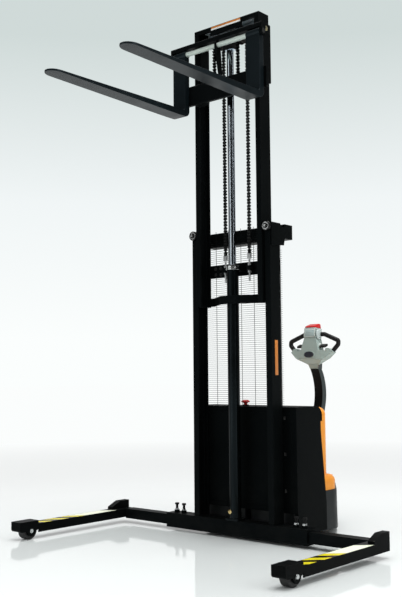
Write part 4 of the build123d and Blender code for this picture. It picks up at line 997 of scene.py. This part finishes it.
# Sloping safety button on top of the head, on its stem: its side outline is (out, up) pairs
BUTTON_BASE, BUTTON_HALF, BUTTON_TAPER, BUTTON_HIGH, BUTTON_SOFT = 0.2722, 0.0425, 0.007, 0.033, 0.0025
BUTTON_SIDE = (
    (0.036, 0.0),
    (0.036, 0.007),
    (0.031, 0.012),
    (-0.014, 0.032),
    (-0.030, BUTTON_HIGH),
    (-0.036, 0.028),
    (-0.036, 0.0),
)
STEM_START, STEM_LONG, STEM_RADIUS = 0.001, 0.040, 0.0098
button = bmesh.new()
flanks = []
for side in SIDES:
    points = []
    for out, up in BUTTON_SIDE:
        half = BUTTON_HALF - BUTTON_TAPER * up / BUTTON_HIGH
        points.append(button.verts.new(head_point(side * half, BUTTON_BASE + up, out)))
    flanks.append(points)
loft(button, flanks)
soften(button, button.edges, BUTTON_SOFT)
stem = [(0, STEM_RADIUS), (STEM_LONG, STEM_RADIUS)]
lathe(button, head_point(0, BUTTON_BASE + STEM_START, 0), -HEAD_UP, stem, 24)
button_piece = make_piece("safety_button", button, red_plastic, "belly_button")
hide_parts("belly_button")

# Collars beside the throttle
COLLAR_X, COLLAR_BORE, COLLAR_OUTER = 0.0590, 0.0085, 0.0190
COLLAR_PROFILE = (
    (0, COLLAR_BORE),
    (0, COLLAR_OUTER),
    (0.0095, COLLAR_OUTER),
    (0.0112, 0.0172),
    (0.0112, COLLAR_BORE),
)
collars = bmesh.new()
for side in SIDES:
    tube(collars, throttle_place + ACROSS * (side * COLLAR_X), ACROSS * side, COLLAR_PROFILE)
make_piece("throttle_collars", collars, pale_plastic, "tiller")


# Drive cover: a dark shroud and an orange hood as wide as the body, and the steered turret on top

STEER_Y = (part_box("drive_dome")[0].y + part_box("drive_dome")[1].y) / 2
COVER_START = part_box("rear_cover")[0].y + 0.004
COVER_HALF = 0.382
CORNER_RADIUS = 0.150
CORNER = Vector((COVER_HALF - CORNER_RADIUS, 0.6106))
REAR_RADIUS = 0.235
REAR = Vector((0, STEER_Y))
flank = REAR - CORNER
# The straight flanks, which run tangent to both arcs, face outward at this angle
FLANK_ANGLE = math.atan2(flank.y, flank.x) - math.acos((CORNER_RADIUS - REAR_RADIUS) / flank.length)
COVER_ARCS = (
    (CORNER, CORNER_RADIUS, 0.0, FLANK_ANGLE, 8),
    (REAR, REAR_RADIUS, FLANK_ANGLE, math.pi / 2, 16),
)


def cover_plan():
    """Points and outward angles round the drive cover, from the right side over the back to the left."""
    half = [(Vector((COVER_HALF, COVER_START)), 0.0)]
    for centre, radius, start, end, steps in COVER_ARCS:
        for step in range(steps + 1):
            angle = start + (end - start) * step / steps
            half.append((centre + radius * polar(angle), angle))
    other = [(Vector((-point.x, point.y)), math.pi - angle) for point, angle in half[-2::-1]]
    return half + other


def swept_wall(shape, profile, fall=lambda y, height: height):
    """Sweeps a closed profile of (inset, height) pairs round the plan of the drive cover."""
    loops = []
    for point, angle in cover_plan():
        places = [(point - polar(angle) * inset, height) for inset, height in profile]
        loops.append([shape.verts.new((place.x, place.y, fall(place.y, height))) for place, height in places])
    loft(shape, loops)


SHROUD_LOW, SHROUD_HIGH = 0.030, 0.266
shroud = bmesh.new()
swept_wall(
    shroud,
    [
        (0.000, SHROUD_LOW),
        (0.003, SHROUD_HIGH - 0.004),
        (0.004, SHROUD_HIGH - 0.001),
        (0.006, SHROUD_HIGH),
        (0.016, SHROUD_HIGH),
        (0.016, SHROUD_HIGH - 0.003),
        (0.008, SHROUD_HIGH - 0.004),
        (0.005, SHROUD_LOW),
    ],
)
shroud_piece = make_piece("drive_shroud", shroud, skirt_plastic, "truck")
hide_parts("drive_skirt")

# Hood: a rounded rim, a deck with a hole for the turret, and a collar under the hole
HOOD_TOP, HOOD_ROUND, HOOD_INSET, HOOD_WALL, HOOD_LIP = 0.357, 0.040, 0.012, 0.003, 0.080
HOOD_FOOT = SHROUD_HIGH + 0.0002
HOOD_LEVEL, HOOD_FALL = 0.640, 0.14
ROUND_STEPS = 8


def hood_fall(y, height):
    """The hood is level beside the body and falls to the rear."""
    return height - HOOD_FALL * max(y - HOOD_LEVEL, 0.0) * (height - HOOD_FOOT) / (HOOD_TOP - HOOD_FOOT)


def hood_edge(radius):
    """The rounded upper edge of the hood, as (inset, height) pairs from the side to the top."""
    turns = [radius * polar(math.pi / 2 * step / ROUND_STEPS) for step in range(ROUND_STEPS + 1)]
    return [(HOOD_INSET + HOOD_ROUND - turn.x, HOOD_TOP - HOOD_ROUND + turn.y) for turn in turns]


hood = bmesh.new()
hood_outside = [(HOOD_INSET, HOOD_FOOT), *hood_edge(HOOD_ROUND), (HOOD_LIP, HOOD_TOP)]
hood_inside = [(HOOD_INSET + HOOD_WALL, HOOD_FOOT), *hood_edge(HOOD_ROUND - HOOD_WALL)]
swept_wall(hood, [*hood_outside, (HOOD_LIP, HOOD_TOP - HOOD_WALL), *hood_inside[::-1]], hood_fall)
DECK_HOLE, DECK_REACH, DECK_REAR, DECK_THICK = 0.120, 0.257, 0.213, 0.004
DECK_TOP = HOOD_TOP - HOOD_WALL
DECK_STEPS = 72
deck = [[], [], [], []]
for step in range(DECK_STEPS):
    toward = polar(TAU * step / DECK_STEPS)
    turned = math.atan2(toward.y, abs(toward.x))
    edge = DECK_REACH
    if turned > 0:
        edge = min(DECK_REACH, DECK_REAR / math.cos(min(turned, FLANK_ANGLE) - FLANK_ANGLE))
    low = DECK_TOP - DECK_THICK
    corners = ((DECK_HOLE, DECK_TOP), (edge, DECK_TOP), (edge, low), (DECK_HOLE, low))
    for ring, (radius, height) in zip(deck, corners):
        y = STEER_Y + toward.y * radius
        ring.append(hood.verts.new((toward.x * radius, y, hood_fall(y, height))))
loft_round(hood, deck)
NECK_LOW, NECK_RADIUS, NECK_WALL = 0.300, 0.150, 0.005
neck_outside = NECK_RADIUS + NECK_WALL
neck = [(NECK_LOW, NECK_RADIUS), (HOOD_TOP, NECK_RADIUS), (HOOD_TOP, neck_outside), (NECK_LOW, neck_outside)]
tube(hood, (0, STEER_Y, 0), UPWARD, neck, 64)
make_piece("drive_hood", hood, orange_paint, "truck")

# Steered turret with the two cheeks that hold the tiller
TURRET_TOP, TURRET_LOW, TURRET_RADIUS, TURRET_HOLE = 0.400, HOOD_TOP + 0.002, 0.160, 0.070
turret = bmesh.new()
tube(
    turret,
    (0, STEER_Y, 0),
    UPWARD,
    [
        (TURRET_TOP - 0.005, TURRET_HOLE),
        (TURRET_TOP, TURRET_HOLE),
        (TURRET_TOP, TURRET_RADIUS - 0.012),
        (TURRET_TOP - 0.003, TURRET_RADIUS - 0.004),
        (TURRET_TOP - 0.010, TURRET_RADIUS),
        (TURRET_LOW, TURRET_RADIUS),
        (TURRET_LOW, TURRET_RADIUS - 0.004),
        (TURRET_TOP - 0.012, TURRET_RADIUS - 0.004),
        (TURRET_TOP - 0.005, TURRET_RADIUS - 0.014),
    ],
    64,
)
PAD_HALF, PAD_FRONT, PAD_REAR, PAD_SOFT = 0.060, 0.905, 0.992, 0.001
PAD_LOW, PAD_HIGH = TURRET_TOP - 0.004, TURRET_TOP + 0.0015
plate(turret, (-PAD_HALF, PAD_FRONT, PAD_LOW), (PAD_HALF, PAD_REAR, PAD_HIGH), PAD_SOFT)
_, TILT_Y, TILT_Z = joints["tiller_tilt"]["pos_m"]
PIN_HOLE, CHEEK_ROUND, CHEEK_FOOT, CHEEK_X, CHEEK_THICK = 0.0148, 0.024, 0.070, 0.034, 0.010
CHEEK_STEPS = 48
drop = TILT_Z - TURRET_TOP
slope = Vector((-drop, CHEEK_FOOT - CHEEK_ROUND)).normalized()


def cheek_reach(toward):
    """How far a cheek reaches from the tilt pin: round above, and a foot with a sloping front below."""
    if toward.y >= 0:
        return CHEEK_ROUND
    reach = [drop / -toward.y]
    if toward.x > 0:
        reach.append(CHEEK_ROUND / toward.x)
    if toward.dot(slope) > 0:
        reach.append(CHEEK_ROUND * -slope.x / toward.dot(slope))
    return min(reach)


angles = [TAU * step / CHEEK_STEPS for step in range(CHEEK_STEPS)]
angles += [TAU + math.atan2(-drop, foot) for foot in (CHEEK_ROUND, -CHEEK_FOOT)]
for side in SIDES:
    near, far = side * CHEEK_X, side * (CHEEK_X + CHEEK_THICK)
    rings = [[], [], [], []]
    for toward in map(polar, sorted(angles)):
        edge = cheek_reach(toward)
        for ring, x, radius in zip(rings, (near, near, far, far), (PIN_HOLE, edge, edge, PIN_HOLE)):
            ring.append(turret.verts.new((x, TILT_Y + toward.x * radius, TILT_Z + toward.y * radius)))
    loft_round(turret, rings)
turret_piece = make_piece("drive_turret", turret, orange_paint, "steering")
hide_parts("drive_dome")


# Floor: a glossy floor, darker near the object with painted shade, that turns into the pale backdrop far from
# it

FLOOR_REACH = 60.0
# The first floor colour is painted shade: darker near the object, as if the object shaded it
FLOOR_PAINTED_SHADE = ((0.70, 0.74, 0.73), (0.74, 0.775, 0.765))
FLOOR_OPEN = ((0.81, 0.84, 0.83), (0.84, 0.865, 0.86))
FLOOR_GLOW = (0.965, 0.985, 0.98)
SHADE_FADE_FROM, GLOW_FROM, GLOW_FULL = 0.8, 2.6, 8.0
floor_corners = [(x * FLOOR_REACH, y * FLOOR_REACH, 0) for x, y in ((-1, -1), (1, -1), (1, 1), (-1, 1))]
floor_mesh = bpy.data.meshes.new("floor")
floor_mesh.from_pydata(floor_corners, [], [(0, 1, 2, 3)])
floor = add_object("floor", floor_mesh)
ground = Shader("studio_floor", Roughness=0.07, Specular_IOR_Level=0.5)
away = ground.node("VectorMath", {0: ground.place}, operation="LENGTH")["Value"]
# Painted shade: the floor is darker near the object and fades to the lighter open floor further out
near = ground.mix(ground.noise(0.7), *FLOOR_PAINTED_SHADE)
open_floor = ground.mix(ground.noise(0.7), *FLOOR_OPEN)
ground.colour(ground.mix(ground.span(away, SHADE_FADE_FROM, GLOW_FROM), near, open_floor))
glow = ground.node("Emission", {"Color": FLOOR_GLOW})["Emission"]
rays = ground.node("LightPath")
seen = ground.math("MAXIMUM", rays["Is Camera Ray"], rays["Is Glossy Ray"])
glowing = ground.both(ground.span(away, GLOW_FROM, GLOW_FULL), seen)
ground.feed(ground.surface, ground.choose(glowing, ground.bsdf.outputs["BSDF"], glow))
floor_mesh.materials.append(ground.material)


# World: a pale backdrop for the camera, a bright rear and dark front for gloss, and even light on the rest

BACKDROP = ((0.04, (0.965, 0.99, 0.985)), (0.19, (0.88, 0.92, 0.925)), (0.36, (0.63, 0.70, 0.69)))
BEHIND = (-0.656, 0.755, 0.0)
BEHIND_FROM, BEHIND_TO = (0.25, 0.62), (0.035, 0.92)
AMBIENT = 0.62
AMBIENT_COLOUR = (0.98, 0.99, 1.0)
world = bpy.data.worlds.new("studio")
scene.world = world
world.use_nodes = True
sky = Nodes(world.node_tree)
looking = sky.node("TexCoord")["Generated"]
ramp = sky.tree.nodes.new("ShaderNodeValToRGB")
for stop, (height, colour) in enumerate(BACKDROP):
    mark = ramp.color_ramp.elements[stop] if stop < 2 else ramp.color_ramp.elements.new(height)
    mark.position = height
    mark.color = (*colour, 1.0)
sky.feed(ramp.inputs["Fac"], sky.part(looking, "Z"))
backdrop = sky.node("Background", {"Color": ramp.outputs["Color"]})["Background"]
gloss = sky.span(sky.dot(looking, BEHIND), *BEHIND_FROM, *BEHIND_TO)
mirrored = sky.node("Background", {"Strength": gloss})["Background"]
ambient = sky.node("Background", {"Color": AMBIENT_COLOUR, "Strength": AMBIENT})["Background"]
rays = sky.node("LightPath")
lit = sky.choose(rays["Is Glossy Ray"], ambient, mirrored)
sky.node("OutputWorld", {"Surface": sky.choose(rays["Is Camera Ray"], lit, backdrop)})


# Lamps


def soft_light(name, place, aim, size, power):
    lamp = bpy.data.lights.new(name, "AREA")
    lamp.shape = "RECTANGLE"
    lamp.size, lamp.size_y = size
    lamp.energy = power
    holder = add_object(name, lamp)
    holder.location = place
    holder.rotation_mode = "QUATERNION"
    holder.rotation_quaternion = (Vector(aim) - Vector(place)).to_track_quat("-Z", "Y")
    holder.visible_camera = False


soft_light("overhead", (0.8, 0.2, 7.5), (0, 0, 0.5), (6.0, 6.0), 560)
soft_light("right_fill", (7.0, 1.0, 4.0), (0, 0.3, 1.2), (3.0, 4.0), 150)
soft_light("left_front", (-2.1, -5.6, 2.8), (0, 0, 2.8), (1.4, 5.4), 40)
soft_light("front_strip", (0.52, -5.98, 2.4), (0, 0, 2.4), (0.22, 4.8), 14)
soft_light("right_strip", (5.9, -1.04, 2.4), (0, 0, 2.4), (0.25, 4.8), 10)


# Camera, fitted to the photograph

CAMERA_PLACE = Vector((3.4097, -4.0971, 0.9774))
YAW = math.radians(40.969)
PITCH_UP = math.radians(4.850)
ROLL = math.radians(-0.485)
SENSOR, LENS = 36.0, 53.73
ahead = Vector((-math.sin(YAW) * math.cos(PITCH_UP), math.cos(YAW) * math.cos(PITCH_UP), math.sin(PITCH_UP)))
right = Vector((math.cos(YAW), math.sin(YAW), 0))
above = right.cross(ahead)
rolled_right = right * math.cos(ROLL) + above * math.sin(ROLL)
rolled_up = above * math.cos(ROLL) - right * math.sin(ROLL)
lens = bpy.data.cameras.new("camera")
lens.sensor_fit = "AUTO"
lens.sensor_width = SENSOR
lens.lens = LENS
camera = add_object("camera", lens)
turn = Matrix((rolled_right, rolled_up, -ahead)).transposed().to_4x4()
camera.matrix_world = Matrix.Translation(CAMERA_PLACE) @ turn
scene.camera = camera
scene.view_settings.view_transform = "Standard"
